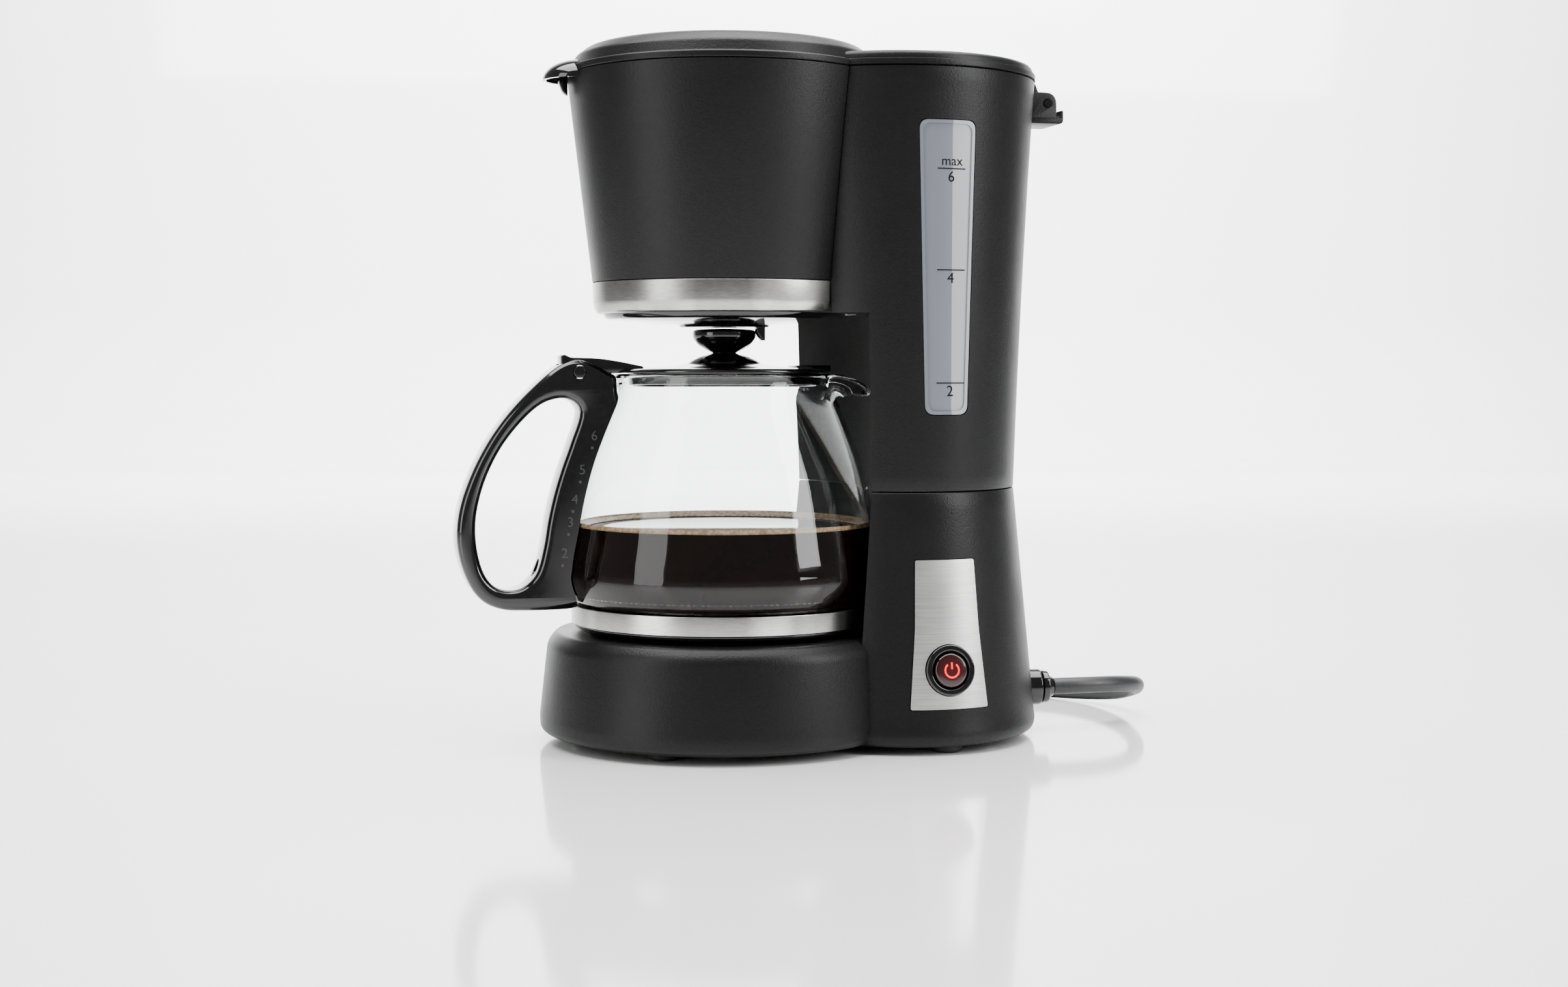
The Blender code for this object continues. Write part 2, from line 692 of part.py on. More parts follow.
def lid():
    """One lid over the tower and the tank, higher over the tower, with a knuckle behind the tank."""
    raised = [
        (0, 263.0), (49.0, 263.0), (51.2, 262.7), (52.6, 262.0), (57.0, 258.6), (58.6, 254.6),
        (60.3, 254.2), (60.3, LID_BOTTOM), (0, LID_BOTTOM),
    ]
    top = turned("top_lid", raised, matte_black())
    tank_top = [
        (LID_BOTTOM + 0.05, 56.3, 58.5), (254.3, 56.3, 58.5), (254.6, 55.5, 57.7), (256.4, 54.8, 57.0),
        (257.4, 52.6, 54.8),
    ]
    join(top, lobe("add_lid_tank", tank_top))
    hollow = [(0, 261.2), (49.6, 261.2), (55.0, 257.4), (56.8, 253.6), (57.4, 251.0), (0, 251.0)]
    cut(top, turned("cut_lid_raised", hollow))
    cut(top, lobe("cut_lid_tank", [(251.0, 53.6, 55.8), (254.2, 53.2, 55.4), (255.5, 52.2, 54.4)]))
    pin_x, _, pin_z = HINGE
    arm = [
        (BREW_X + 118.6, 252.4), (BREW_X + 123.1, 252.2), (BREW_X + 123.2, 249.4), (BREW_X + 124.6, 247.4),
        (BREW_X + 125.0, 244.6), (BREW_X + 126.1, 242.6), (BREW_X + 128.8, 241.5), (BREW_X + 131.5, 242.6),
        (BREW_X + 132.5, 245.2), (BREW_X + 131.4, 248.2), (BREW_X + 128.8, 249.1), (BREW_X + 126.0, 250.2),
        (BREW_X + 125.2, 252.6), (BREW_X + 123.4, 254.4), (BREW_X + 118.6, 255.6),
    ]
    join(top, slab("add_lid_knuckle", [arm], 0.0, 13.0))
    cut(top, rod("cut_lid_knuckle", (pin_x, -8, pin_z), (pin_x, 8, pin_z), 1.8))
    tab = lid_finger_tab()
    hang("lid_hinge_axis", HINGE, [top, tab])
    rod("hinge_pin", (pin_x, -10.4, pin_z), (pin_x, 10.4, pin_z), 1.55, satin_steel(), 24)


def lid_finger_tab():
    """A hollow hood at the front of the lid, with a rib down beside the tower."""
    tab = hood("lid_finger_tab", 14.0, 8.0, gloss_black())
    cut(tab, hood("cut_tab_hollow", 12.6, 6.8))
    rib = [
        (BREW_X - 64.6, 254.5), (BREW_X - 63.8, 247.6), (BREW_X - 62.4, 244.6), (BREW_X - 60.9, 243.0),
        (BREW_X - 60.8, 255.8), (BREW_X - 62.0, 255.6),
    ]
    join(tab, slab("add_tab_rib", [rib], 0.0, 3.0))
    seat = [(0, 264.0), (49.0, 263.4), (51.4, 263.0), (52.8, 262.3), (57.5, 258.8), (59.2, 254.8),
            (60.7, 254.7), (60.7, 230.0), (0, 230.0)]
    cut(tab, turned("cut_tab_seat", seat))
    return tab


def hood(name, reach, rise, finish=None):
    """The upper half of a flattened ball at the lid's edge; a cutter reaches 1 mm lower."""
    mesh = bpy.data.meshes.new(name)
    shape = bmesh.new()
    bmesh.ops.create_uvsphere(shape, u_segments=20, v_segments=10, radius=MM)
    bmesh.ops.scale(shape, vec=(reach, reach, rise), verts=shape.verts)
    level = Vector((0.0, 0.0, 0.0 if finish else -MM))
    geometry = [*shape.verts, *shape.edges, *shape.faces]
    found = bmesh.ops.bisect_plane(
        shape, geom=geometry, plane_co=level, plane_no=(0, 0, -1), clear_outer=True,
    )
    rim = [item for item in found["geom_cut"] if isinstance(item, bmesh.types.BMEdge)]
    bmesh.ops.holes_fill(shape, edges=rim)
    bmesh.ops.recalc_face_normals(shape, faces=shape.faces)
    shape.to_mesh(mesh)
    shape.free()
    mesh.shade_smooth()
    mesh.set_sharp_from_angle(angle=math.radians(40))
    return place(name, mesh, finish, (BREW_X - 56.0, 0.0, 248.9))


# Switch

def switch():
    outward = -switch_axis()
    bezel = [(8.9, 1.5), (9.2, 1.1), (9.2, -8.0), (6.8, -8.0), (6.8, 1.0), (7.2, 1.5)]
    turned("switch_bezel", bezel, gloss_black(), SWITCH, outward, ring=True, steps=24)
    cap = [(0, 2.3), (5.3, 2.1), (6.3, 1.5), (6.3, -5.0), (2.0, -5.0), (2.0, -9.4), (0, -9.4)]
    turned("power_button", cap, lit_button(), SWITCH, outward, steps=20)
    body = block("switch_body", (-8, -8, -20), (8, 8, -12.6), dark_inner(), 0.6)
    body.rotation_mode = "QUATERNION"
    body.rotation_quaternion = towards(outward)
    body.location = on_switch_axis(16.3) * MM


# Jug

def glass_radius(z):
    """The jug's outer radius at a height on its side wall."""
    wall = [
        (41.9, 46.0), (43.6, 50.4), (47.8, 55.4), (51.6, 56.9), (56.0, 59.4), (61.5, 61.0), (70.8, 60.0),
        (80.0, 58.2), (92.0, 55.9), (103.0, 53.1), (112.3, 49.9), (121.6, 46.2), (129.0, 43.0),
        (134.6, 41.1),
    ]
    for (z0, r0), (z1, r1) in zip(wall, wall[1:]):
        if z <= z1:
            return r0 + (r1 - r0) * (z - z0) / (z1 - z0)
    return wall[-1][1]


def pull_spout(mesh):
    """Draws the jug's rim out into a pouring lip on the +X side."""
    half_angle = math.radians(34)
    for vertex in mesh.vertices:
        x, y, z = vertex.co / MM
        rise = min(1.0, max(0.0, (z - SPOUT_FOOT) / SPOUT_RISE))
        side = abs(math.atan2(y, x)) / half_angle
        if side >= 1.0 or rise == 0.0:
            continue
        pull = rise * rise * (3 - 2 * rise) * math.cos(side * math.pi / 2) ** 2
        radius = math.hypot(x, y)
        scale = (radius + SPOUT_REACH * pull) / radius
        vertex.co = Vector((x * scale, y * scale, z - SPOUT_DROP * pull * pull)) * MM


def carafe_glass():
    outside = [(glass_radius(z), z) for z in GLASS_LEVELS]
    inside = [(radius - 2.0, z) for radius, z in reversed(outside[:-1])]
    rim = [(39.0, 137.4), (40.4, 138.5), (42.2, 137.6)]
    profile = [(0, 43.9), (47.0, 43.9), *inside, *rim, *outside, (46.0, 41.9), (0, 41.9)]
    guide = turned("carafe_glass_turned", profile, origin=(0, 0, 0))
    bpy.context.view_layer.update()
    graph = bpy.context.evaluated_depsgraph_get()
    mesh = bpy.data.meshes.new_from_object(guide.evaluated_get(graph))
    bpy.data.objects.remove(guide)
    pull_spout(mesh)
    mesh.shade_smooth()
    return place("carafe_glass", mesh, clear_glass(), (BREW_X, 0.0, 0.0))


def carafe_band():
    profile = [(58.3, 51.6), (58.3, 44.6), (57.5, 44.6), (57.5, 51.6)]
    return turned("carafe_band", profile, satin_steel(), ring=True)


def carafe_base_ring():
    profile = [(57.4, 44.3), (57.0, 43.0), (55.2, JUG_BOTTOM), (51.6, JUG_BOTTOM), (52.6, 44.3)]
    return turned("carafe_base_ring", profile, gloss_black(), ring=True)


def handle_outlines():
    outer = [
        (-43.4, 137.6), (-47.0, 139.4), (-52.0, 142.0), (-57.5, 143.6), (-63.0, 142.2), (-70.8, 136.9),
        (-80.8, 127.3), (-88.6, 117.6), (-94.4, 108.0), (-98.8, 98.3), (-101.7, 88.7), (-102.9, 79.0),
        (-101.4, 68.6), (-98.0, 60.0), (-93.0, 54.0), (-86.5, 51.0), (-78.0, 50.7), (-60.0, 50.9),
        (-52.0, 54.0), (-50.0, 70.0), (-46.0, 96.0), (-41.0, 122.0), (-42.6, 132.0),
    ]
    hole = [
        (-57.0, 124.4), (-60.4, 112.8), (-63.9, 103.0), (-66.8, 93.4), (-69.0, 83.7), (-70.5, 74.0),
        (-73.0, 64.4), (-77.9, 59.4), (-83.5, 58.2), (-89.2, 60.0), (-93.0, 65.0), (-95.5, 74.0),
        (-95.9, 83.7), (-94.2, 93.4), (-90.8, 103.0), (-85.4, 112.8), (-77.4, 122.4), (-70.0, 128.2),
        (-62.5, 129.4),
    ]
    return [[(BREW_X + x, z) for x, z in loop] for loop in (outer, hole)]


def handle():
    outer, hole = handle_outlines()
    grip = slab("handle", [outer, hole], 0.0, 18.0, gloss_black(), 2.2)
    side = [(glass_radius(z) + 0.5, z) for z in (121.6, 103.0, 80.0, 61.5)]
    keep_clear = [(0, 150.0), (41.8, 150.0), (42.8, 137.6), (41.8, 134.6), *side, (58.9, 52.1),
                  (58.9, 40.0), (0, 40.0)]
    cut(grip, turned("cut_jug_space", keep_clear))
    pin_x, _, pin_z = JUG_PIN
    cut(grip, block("cut_lid_arm", (pin_x - 7.2, -5.3, 133.6), (pin_x + 20, 5.3, 150.0)))
    cut(grip, rod("cut_pin_hole", (pin_x, -12, pin_z), (pin_x, 12, pin_z), 2.55))
    screw_z = 66.0
    deep = (BREW_X - 78.0, 0.0, screw_z)
    seat = (BREW_X - 69.0, 0.0, screw_z)
    cut(grip, rod("cut_screw_head", deep, seat, 3.3, sides=20))
    cut(grip, rod("cut_screw_shank", seat, (BREW_X - 58.0, 0.0, screw_z), 1.8, sides=12))
    shank = [(0, 2.4), (2.6, 2.4), (3.0, 1.9), (3.0, 0.3), (1.5, 0.3), (1.5, -6.6), (0, -6.6)]
    turned("handle_screw", shank, satin_steel(), seat, (-1, 0, 0), steps=12)
    rod("carafe_lid_pin", (pin_x, -9.2, pin_z), (pin_x, 9.2, pin_z), 2.25, gloss_black(), 20)
    return grip


def carafe_lid():
    """The jug's lid: a shallow cone with a waisted funnel, an arm to the hinge and a tab over the lip."""
    profile = [
        (2.2, 155.8), (5.4, 155.8), (11.6, 155.2), (12.2, 152.6), (10.2, 149.8), (7.2, 148.0), (4.4, 146.5),
        (9.5, 145.2), (12.5, 143.8), (14.9, 142.3), (22.0, 141.2), (39.0, 140.4), (40.2, 139.8),
        (40.2, 138.9), (36.9, 138.8), (36.6, 134.8), (35.2, 134.8), (34.9, 138.2), (2.2, 140.0),
    ]
    cover = turned("carafe_lid", profile, gloss_black(), ring=True)
    pin_x, _, pin_z = JUG_PIN
    arm = [
        (BREW_X - 63.6, 145.2), (BREW_X - 62.4, 145.8), (BREW_X - 60.6, 144.8), (BREW_X - 58.4, 144.3),
        (BREW_X - 50.0, 144.4), (BREW_X - 42.0, 143.2), (BREW_X - 32.0, 141.4), (BREW_X - 32.0, 140.0),
        (BREW_X - 40.6, 138.9), (BREW_X - 46.0, 138.6), (BREW_X - 52.0, 136.8), (BREW_X - 57.0, 135.4),
        (BREW_X - 61.0, 137.0), (BREW_X - 63.0, 140.6),
    ]
    join(cover, slab("add_lid_arm", [arm], 0.0, 10.0))
    cut(cover, rod("cut_arm_pin", (pin_x, -7, pin_z), (pin_x, 7, pin_z), 2.55))
    join(cover, block("add_lid_tongue", (BREW_X + 27, -7, 139.4), (BREW_X + 40.6, 7, 141.8)))
    return cover


# Mains lead

def gland_axis():
    return Vector((0.995, -0.1, 0.0)).normalized()


def gland_point(distance):
    """A point on the gland's axis, counted outwards from the housing's face."""
    return Vector((BREW_X + 118.5, -17.0, 16.5)) + gland_axis() * distance


def cord_gland():
    profile = [
        (3.4, 9.0), (4.6, 7.0), (5.9, 6.6), (6.3, 6.0), (6.3, 4.4), (5.0, 4.2), (5.0, 3.8), (6.6, 3.7),
        (7.0, 3.2), (7.0, -1.6), (5.4, -2.2), (4.2, -14.0), (0, -14.0),
    ]
    turned("cord_gland", [(0, 9.0), *profile], soft_rubber(), gland_point(0), gland_axis(), steps=16)


def lead_route():
    """The lead from the gland, round the tank's right side, to the coil behind it."""
    near_coil = COIL[1] - 38.4
    return [
        CORD_EXIT, (BREW_X + 141, -18.2, 16.5), (BREW_X + 156, -14.5, 15.9), (BREW_X + 168, -5.0, 14.0),
        (BREW_X + 174, 9.0, 10.6), (BREW_X + 173, 25.0, 6.6), (BREW_X + 167, 41.0, 4.4),
        (BREW_X + 156, 56.0, 3.5), (BREW_X + 141, 67.5, 3.5), (BREW_X + 122, 74.6, 3.8),
        (BREW_X + 110, 76.6, 4.3), (BREW_X + 99.2, near_coil, 4.6),
    ]


def tail_route():
    """The short end of the lead, from the top of the coil down to the plug."""
    return [
        (BREW_X + 46.4, 81.6, 8.8), (BREW_X + 40.0, 82.3, 7.4), (BREW_X + 34.0, 83.9, 6.8),
        (BREW_X + 27.4, 86.45, 6.8), (BREW_X + 21.6, 88.9, 6.9),
    ]


def mains_lead():
    rubber = material("cord_rubber", (0.02, 0.02, 0.02), 0.5)
    tube("cord", smooth_path(lead_route(), 2), CORD_D, rubber)
    tube("cord_tail", smooth_path(tail_route(), 1), CORD_D, rubber)
    low, high = 1.3, 13.6
    inner, outer = COIL_R
    ring = [
        (outer - 1.5, high), (outer, high - 1.5), (outer, low + 1.5), (outer - 1.5, low),
        (inner + 1.5, low), (inner, low + 1.5), (inner, high - 1.5), (inner + 1.5, high),
    ]
    turned("cord_coil", ring, rubber, (*COIL, 0.0), ring=True, steps=28)
    far = COIL[0] - outer - 1.4
    near = COIL[0] - inner + 1.7
    y = COIL[1]
    tie = block("cord_tie", (far, y - 4, 0.1), (near, y + 4, high + 1.2), soft_rubber(), 0.4)
    cut(tie, block("cut_tie", (far + 1.0, y - 8, low - 0.3), (near - 1.0, y + 8, high + 0.3)))
    plug()


def plug():
    """A flat two-pin plug that lies behind the tower with its pins towards -X."""
    direction = Vector((-0.92, 0.39, 0.0)).normalized()
    rear = Vector((BREW_X + 21.1, 89.1, 6.9))
    middle = rear + direction * 34.0
    hull = [(0, 0.0), (3.5, 0.0), (4.0, 4.0), (5.2, 16.0), (6.5, 20.0), (6.8, 26.0), (0, 26.0)]
    relief = turned("plug_body", list(reversed(hull)), soft_rubber(), rear, direction, steps=20)
    body = block("add_plug_block", (-13.0, -6.8, -16.0), (13.0, 6.8, 16.0), bevel=2.0)
    side = Vector((0.0, 0.0, 1.0)).cross(direction)
    frame = Matrix((side, direction.cross(side), direction)).transposed().to_4x4()
    body.matrix_world = Matrix.Translation(middle * MM) @ frame
    join(relief, body)
    for number, offset in ((1, -9.5), (2, 9.5)):
        start = middle + direction * 16.3 + side * offset
        rod(f"plug_pin_{number}", start, start + direction * 19.0, 2.0, satin_steel(), 12)


clear_scene()
maker = new_collection("drip_coffee_maker")
cutters = new_collection("cutters", hidden=True)
base_housing()
switch_plate()
bottom_cover()
feet()
bottom_screws()
hot_plate()
heater()
water_lines()
tank_housing()
water_window()
filter_housing()
trim_band()
filter_holder()
permanent_filter()
drip_valve()
water_spout()
lid()
switch()
carafe_glass()
carafe_band()
carafe_base_ring()
handle()
carafe_lid()
cord_gland()
mains_lead()
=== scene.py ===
"""The drip coffee maker's looks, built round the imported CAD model. Sizes are in millimetres, and
the helpers turn them into metres. The brewing axis is at x = BREW_X and the tank's at x = TANK_X."""

import math

import bmesh
import bpy
from mathutils import Matrix, Vector


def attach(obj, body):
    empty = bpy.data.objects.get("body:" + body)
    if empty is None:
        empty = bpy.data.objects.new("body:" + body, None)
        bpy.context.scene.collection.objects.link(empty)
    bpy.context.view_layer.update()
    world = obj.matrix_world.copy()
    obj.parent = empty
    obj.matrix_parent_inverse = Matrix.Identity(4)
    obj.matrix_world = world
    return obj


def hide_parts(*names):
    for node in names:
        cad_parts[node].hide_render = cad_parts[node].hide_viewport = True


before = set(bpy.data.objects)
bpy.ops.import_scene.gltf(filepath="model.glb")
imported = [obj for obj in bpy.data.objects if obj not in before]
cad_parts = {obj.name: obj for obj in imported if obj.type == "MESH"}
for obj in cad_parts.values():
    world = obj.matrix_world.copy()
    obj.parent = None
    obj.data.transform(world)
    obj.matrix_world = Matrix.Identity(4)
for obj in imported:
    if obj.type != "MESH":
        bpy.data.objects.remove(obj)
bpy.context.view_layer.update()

MM = 0.001
BREW_X = -18.0
TANK_X = BREW_X + 66.6
BASE_TOP = 41.1
TANK_BOTTOM = 95.0
HOUSING_TOP = 251.5
BAY_R = 65.5
BAY_TOP = 161.2
HINGE = (BREW_X + 128.8, 0.0, 245.2)
JUG_PIN = (BREW_X - 57.5, 0.0, 139.3)
GAUGE_X = BREW_X + 71.0
PLATE_X = GAUGE_X - 1.5
SWITCH = Vector((BREW_X + 69.5, -62.8, 30.7))
SWITCH_TILT = math.radians(6.9)
COFFEE_TOP = 80.6
STEPS = 144
SIDES = 168
CORD_D = 6.4
COIL = (BREW_X + 75.0, 116.0)
SPOUT_FOOT = 126.5
SPOUT_RISE = 10.5
SPOUT_REACH = 16.0
SPOUT_DROP = 6.5
WALL = [
    (46.0, 41.9), (49.6, 43.0), (53.0, 45.4), (55.6, 48.6), (57.2, 52.0), (59.4, 56.0), (61.0, 61.5),
    (60.6, 66.2), (60.0, 70.8), (58.2, 80.0), (55.9, 92.0), (53.1, 103.0), (49.9, 112.3), (46.2, 121.6),
    (43.1, 129.0), (41.2, 134.4),
]


# Mesh helpers

def new_object(name, mesh, origin=(0.0, 0.0, 0.0), turn=None):
    obj = bpy.data.objects.new(name, mesh)
    bpy.context.scene.collection.objects.link(obj)
    obj.location = Vector(origin) * MM
    if turn is not None:
        obj.rotation_mode = "QUATERNION"
        obj.rotation_quaternion = turn
    return obj


def towards(direction):
    return Vector((0.0, 0.0, 1.0)).rotation_difference(Vector(direction))


def soften(points, closed, arc_steps=5):
    """Replaces each (r, z, radius) corner of an outline with a rounded one."""
    out = []
    count = len(points)
    for i, point in enumerate(points):
        here = Vector(point[:2])
        size = point[2] if len(point) > 2 else 0.0
        if size == 0.0 or (not closed and i in (0, count - 1)):
            out.append(here)
            continue
        back = Vector(points[i - 1][:2]) - here
        ahead = Vector(points[(i + 1) % count][:2]) - here
        size = min(size, back.length * 0.48, ahead.length * 0.48)
        start = back.normalized() * size
        end = ahead.normalized() * size
        for step in range(arc_steps + 1):
            t = step / arc_steps
            out.append(here + start * (1 - t) ** 2 + end * t ** 2)
    return out


def finish_mesh(shape, name, angle=32.0):
    bmesh.ops.recalc_face_normals(shape, faces=shape.faces)
    mesh = bpy.data.meshes.new(name)
    shape.to_mesh(mesh)
    shape.free()
    mesh.shade_smooth()
    mesh.set_sharp_from_angle(angle=math.radians(angle))
    return mesh


def turned_mesh(name, profile, ring=False, steps=STEPS):
    """A turned surface from (radius, height) points, with a third number where a corner is rounded."""
    shape = bmesh.new()
    outline = soften(profile, ring)
    rings = []
    for r, z in outline:
        if r < 0.0001:
            rings.append([shape.verts.new((0.0, 0.0, z * MM))])
            continue
        ring_points = []
        for i in range(steps):
            angle = 2 * math.pi * i / steps
            ring_points.append(shape.verts.new((r * math.cos(angle) * MM, r * math.sin(angle) * MM, z * MM)))
        rings.append(ring_points)
    pairs = list(zip(rings, rings[1:]))
    if ring:
        pairs.append((rings[-1], rings[0]))
    for a, b in pairs:
        for i in range(steps):
            j = (i + 1) % steps
            corners = [a[i % len(a)], a[j % len(a)], b[j % len(b)], b[i % len(b)]]
            unique = list(dict.fromkeys(corners))
            if len(unique) > 2:
                shape.faces.new(unique)
    return finish_mesh(shape, name)


def turned(name, profile, origin=(BREW_X, 0.0, 0.0), axis=(0, 0, 1), ring=False, steps=STEPS):
    return new_object(name, turned_mesh(name, profile, ring, steps), origin, towards(axis))


def rod(name, start, end, radius, steps=48, edge=0.0):
    start = Vector(start)
    end = Vector(end)
    length = (end - start).length
    profile = [(0, length), (radius, length, edge), (radius, 0, edge), (0, 0)]
    return turned(name, profile, start, end - start, steps=steps)


def block(name, low, high, bevel=0.0, segments=3):
    low = Vector(low)
    high = Vector(high)
    shape = bmesh.new()
    bmesh.ops.create_cube(shape, size=1.0, matrix=Matrix.Diagonal((*((high - low) * MM), 1.0)))
    if bevel:
        bmesh.ops.bevel(
            shape, geom=shape.edges[:], offset=bevel * MM, segments=segments, profile=0.5, affect="EDGES"
        )
    return new_object(name, finish_mesh(shape, name, 50.0), (low + high) / 2)


def lobe(name, sections, grow=0.0):
    """A loft through ellipses round the tank's axis: (height, half length, half width)."""
    shape = bmesh.new()
    rings = []
    for z, rx, ry in sections:
        ring = []
        for i in range(SIDES):
            angle = 2 * math.pi * i / SIDES
            x = (rx + grow) * math.cos(angle)
            y = (ry + grow) * math.sin(angle)
            ring.append(shape.verts.new((x * MM, y * MM, z * MM)))
        rings.append(ring)
    for lower, upper in zip(rings, rings[1:]):
        for i in range(SIDES):
            j = (i + 1) % SIDES
            shape.faces.new((lower[i], lower[j], upper[j], upper[i]))
    shape.faces.new(list(reversed(rings[0])))
    shape.faces.new(rings[-1])
    return new_object(name, finish_mesh(shape, name), (TANK_X, 0.0, 0.0))


def smooth_path(points, per_span, closed=False):
    """Points along a Catmull-Rom curve through the given points."""
    vectors = [Vector(p) for p in points]
    count = len(vectors)
    out = []
    for i in range(count if closed else count - 1):
        p1 = vectors[i]
        p2 = vectors[(i + 1) % count]
        p0 = vectors[i - 1] if closed or i else p1 * 2 - p2
        p3 = vectors[(i + 2) % count] if closed or i + 2 < count else p2 * 2 - p1
        for step in range(per_span):
            t = step / per_span
            b = p2 - p0
            c = p0 * 2 - p1 * 5 + p2 * 4 - p3
            d = p1 * 3 - p0 - p2 * 3 + p3
            out.append((p1 * 2 + b * t + c * t * t + d * t * t * t) / 2)
    if not closed:
        out.append(vectors[-1])
    return out


def mesh_from_curve(name, curve, matrix=None, angle=32.0):
    guide = bpy.data.objects.new(name + "_guide", curve)
    bpy.context.scene.collection.objects.link(guide)
    bpy.context.view_layer.update()
    graph = bpy.context.evaluated_depsgraph_get()
    mesh = bpy.data.meshes.new_from_object(guide.evaluated_get(graph))
    bpy.data.objects.remove(guide)
    shape = bmesh.new()
    shape.from_mesh(mesh)
    bmesh.ops.remove_doubles(shape, verts=shape.verts, dist=0.000004)
    if matrix is not None:
        bmesh.ops.transform(shape, matrix=matrix, verts=shape.verts)
    return new_object(name, finish_mesh(shape, name, angle))


def slab(name, outlines, middle, width, round_edge=0.0, segments=3):
    """A flat piece in an XZ plane at y = middle. Outlines are (x, z) loops; the later ones are holes."""
    curve = bpy.data.curves.new(name, "CURVE")
    curve.dimensions = "2D"
    curve.fill_mode = "BOTH"
    curve.extrude = (width / 2 - round_edge) * MM
    curve.bevel_depth = round_edge * MM
    curve.bevel_resolution = segments
    curve.offset = -round_edge * MM
    for outline in outlines:
        spline = curve.splines.new("POLY")
        spline.points.add(len(outline) - 1)
        for point, (x, z) in zip(spline.points, outline):
            point.co = (x * MM, z * MM, 0.0, 1.0)
        spline.use_cyclic_u = True
    upright = Matrix.Translation((0.0, middle * MM, 0.0)) @ Matrix.Rotation(math.pi / 2, 4, "X")
    return mesh_from_curve(name, curve, upright, 40.0)


def tube(name, points, diameter, resolution=6):
    curve = bpy.data.curves.new(name, "CURVE")
    curve.dimensions = "3D"
    curve.bevel_depth = diameter / 2 * MM
    curve.bevel_resolution = resolution
    curve.use_fill_caps = True
    spline = curve.splines.new("POLY")
    spline.points.add(len(points) - 1)
    for point, spot in zip(spline.points, points):
        point.co = (*(Vector(spot) * MM), 1.0)
    return mesh_from_curve(name, curve)


def combine(obj, operation, *others):
    """Applies Booleans at once and removes the helpers."""
    for other in others:
        step = obj.modifiers.new("Step", "BOOLEAN")
        step.operation = operation
        step.object = other
        step.solver = "EXACT"
        bpy.context.view_layer.update()
        graph = bpy.context.evaluated_depsgraph_get()
        mesh = bpy.data.meshes.new_from_object(obj.evaluated_get(graph))
        obj.modifiers.clear()
        obj.data = mesh
        bpy.data.objects.remove(other)
    obj.data.shade_smooth()
    obj.data.set_sharp_from_angle(angle=math.radians(32))
    return obj


def cut(obj, *others):
    return combine(obj, "DIFFERENCE", *others)


def join(obj, *others):
    return combine(obj, "UNION", *others)


def piece(obj, body, finish, slot, *nodes):
    """Gives a finished piece its material and its body, and hides the nodes that it stands for. The slot
    argument is not used.
    """
    obj.data.materials.clear()
    obj.data.materials.append(finish)
    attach(obj, body)
    if nodes:
        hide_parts(*nodes)
    return obj


# Materials

def blank(name):
    made = bpy.data.materials.new(name)
    made.use_nodes = True
    return made, made.node_tree.nodes, made.node_tree.links, made.node_tree.nodes["Principled BSDF"]


def texture(nodes, links, kind, scale, stretch=(1.0, 1.0, 1.0), detail=3.0, distortion=0.0):
    """A noise or other procedural texture in object coordinates, stretched along the axes."""
    coords = nodes.new("ShaderNodeTexCoord")
    mapping = nodes.new("ShaderNodeMapping")
    mapping.inputs["Scale"].default_value = stretch
    pattern = nodes.new(kind)
    pattern.inputs["Scale"].default_value = scale
    if kind == "ShaderNodeTexNoise":
        pattern.inputs["Detail"].default_value = detail
        pattern.inputs["Distortion"].default_value = distortion
    links.new(coords.outputs["Object"], mapping.inputs["Vector"])
    links.new(mapping.outputs["Vector"], pattern.inputs["Vector"])
    return pattern


def remap(nodes, links, source, low, high, start=0.3, end=0.7):
    span = nodes.new("ShaderNodeMapRange")
    span.inputs["From Min"].default_value = start
    span.inputs["From Max"].default_value = end
    span.inputs["To Min"].default_value = low
    span.inputs["To Max"].default_value = high
    links.new(source, span.inputs["Value"])
    return span.outputs["Result"]


def blend_colours(nodes, links, source, dark, light, start=0.3, end=0.7):
    ramp = nodes.new("ShaderNodeValToRGB")
    ramp.color_ramp.elements[0].position = start
    ramp.color_ramp.elements[0].color = (*dark, 1.0)
    ramp.color_ramp.elements[1].position = end
    ramp.color_ramp.elements[1].color = (*light, 1.0)
    links.new(source, ramp.inputs["Fac"])
    return ramp.outputs["Color"]


def bump(nodes, links, shader, source, strength, distance):
    node = nodes.new("ShaderNodeBump")
    node.inputs["Strength"].default_value = strength
    node.inputs["Distance"].default_value = distance
    links.new(source, node.inputs["Height"])
    links.new(node.outputs["Normal"], shader.inputs["Normal"])


def grained_plastic(name, dark, light, rough, strength, scale=1500.0):
    """Moulded plastic with a fine spark-eroded grain and faint handling marks."""
    made, nodes, links, shader = blank(name)
    grain = texture(nodes, links, "ShaderNodeTexNoise", scale, detail=2.0)
    wear = texture(nodes, links, "ShaderNodeTexNoise", 42.0, detail=4.0)
    colour = blend_colours(nodes, links, grain.outputs["Fac"], dark, light)
    links.new(colour, shader.inputs["Base Color"])
    gloss = remap(nodes, links, wear.outputs["Fac"], rough - 0.03, rough + 0.04)
    links.new(gloss, shader.inputs["Roughness"])
    bump(nodes, links, shader, grain.outputs["Fac"], strength, 0.0003)
    shader.inputs["Specular IOR Level"].default_value = 0.22
    return made


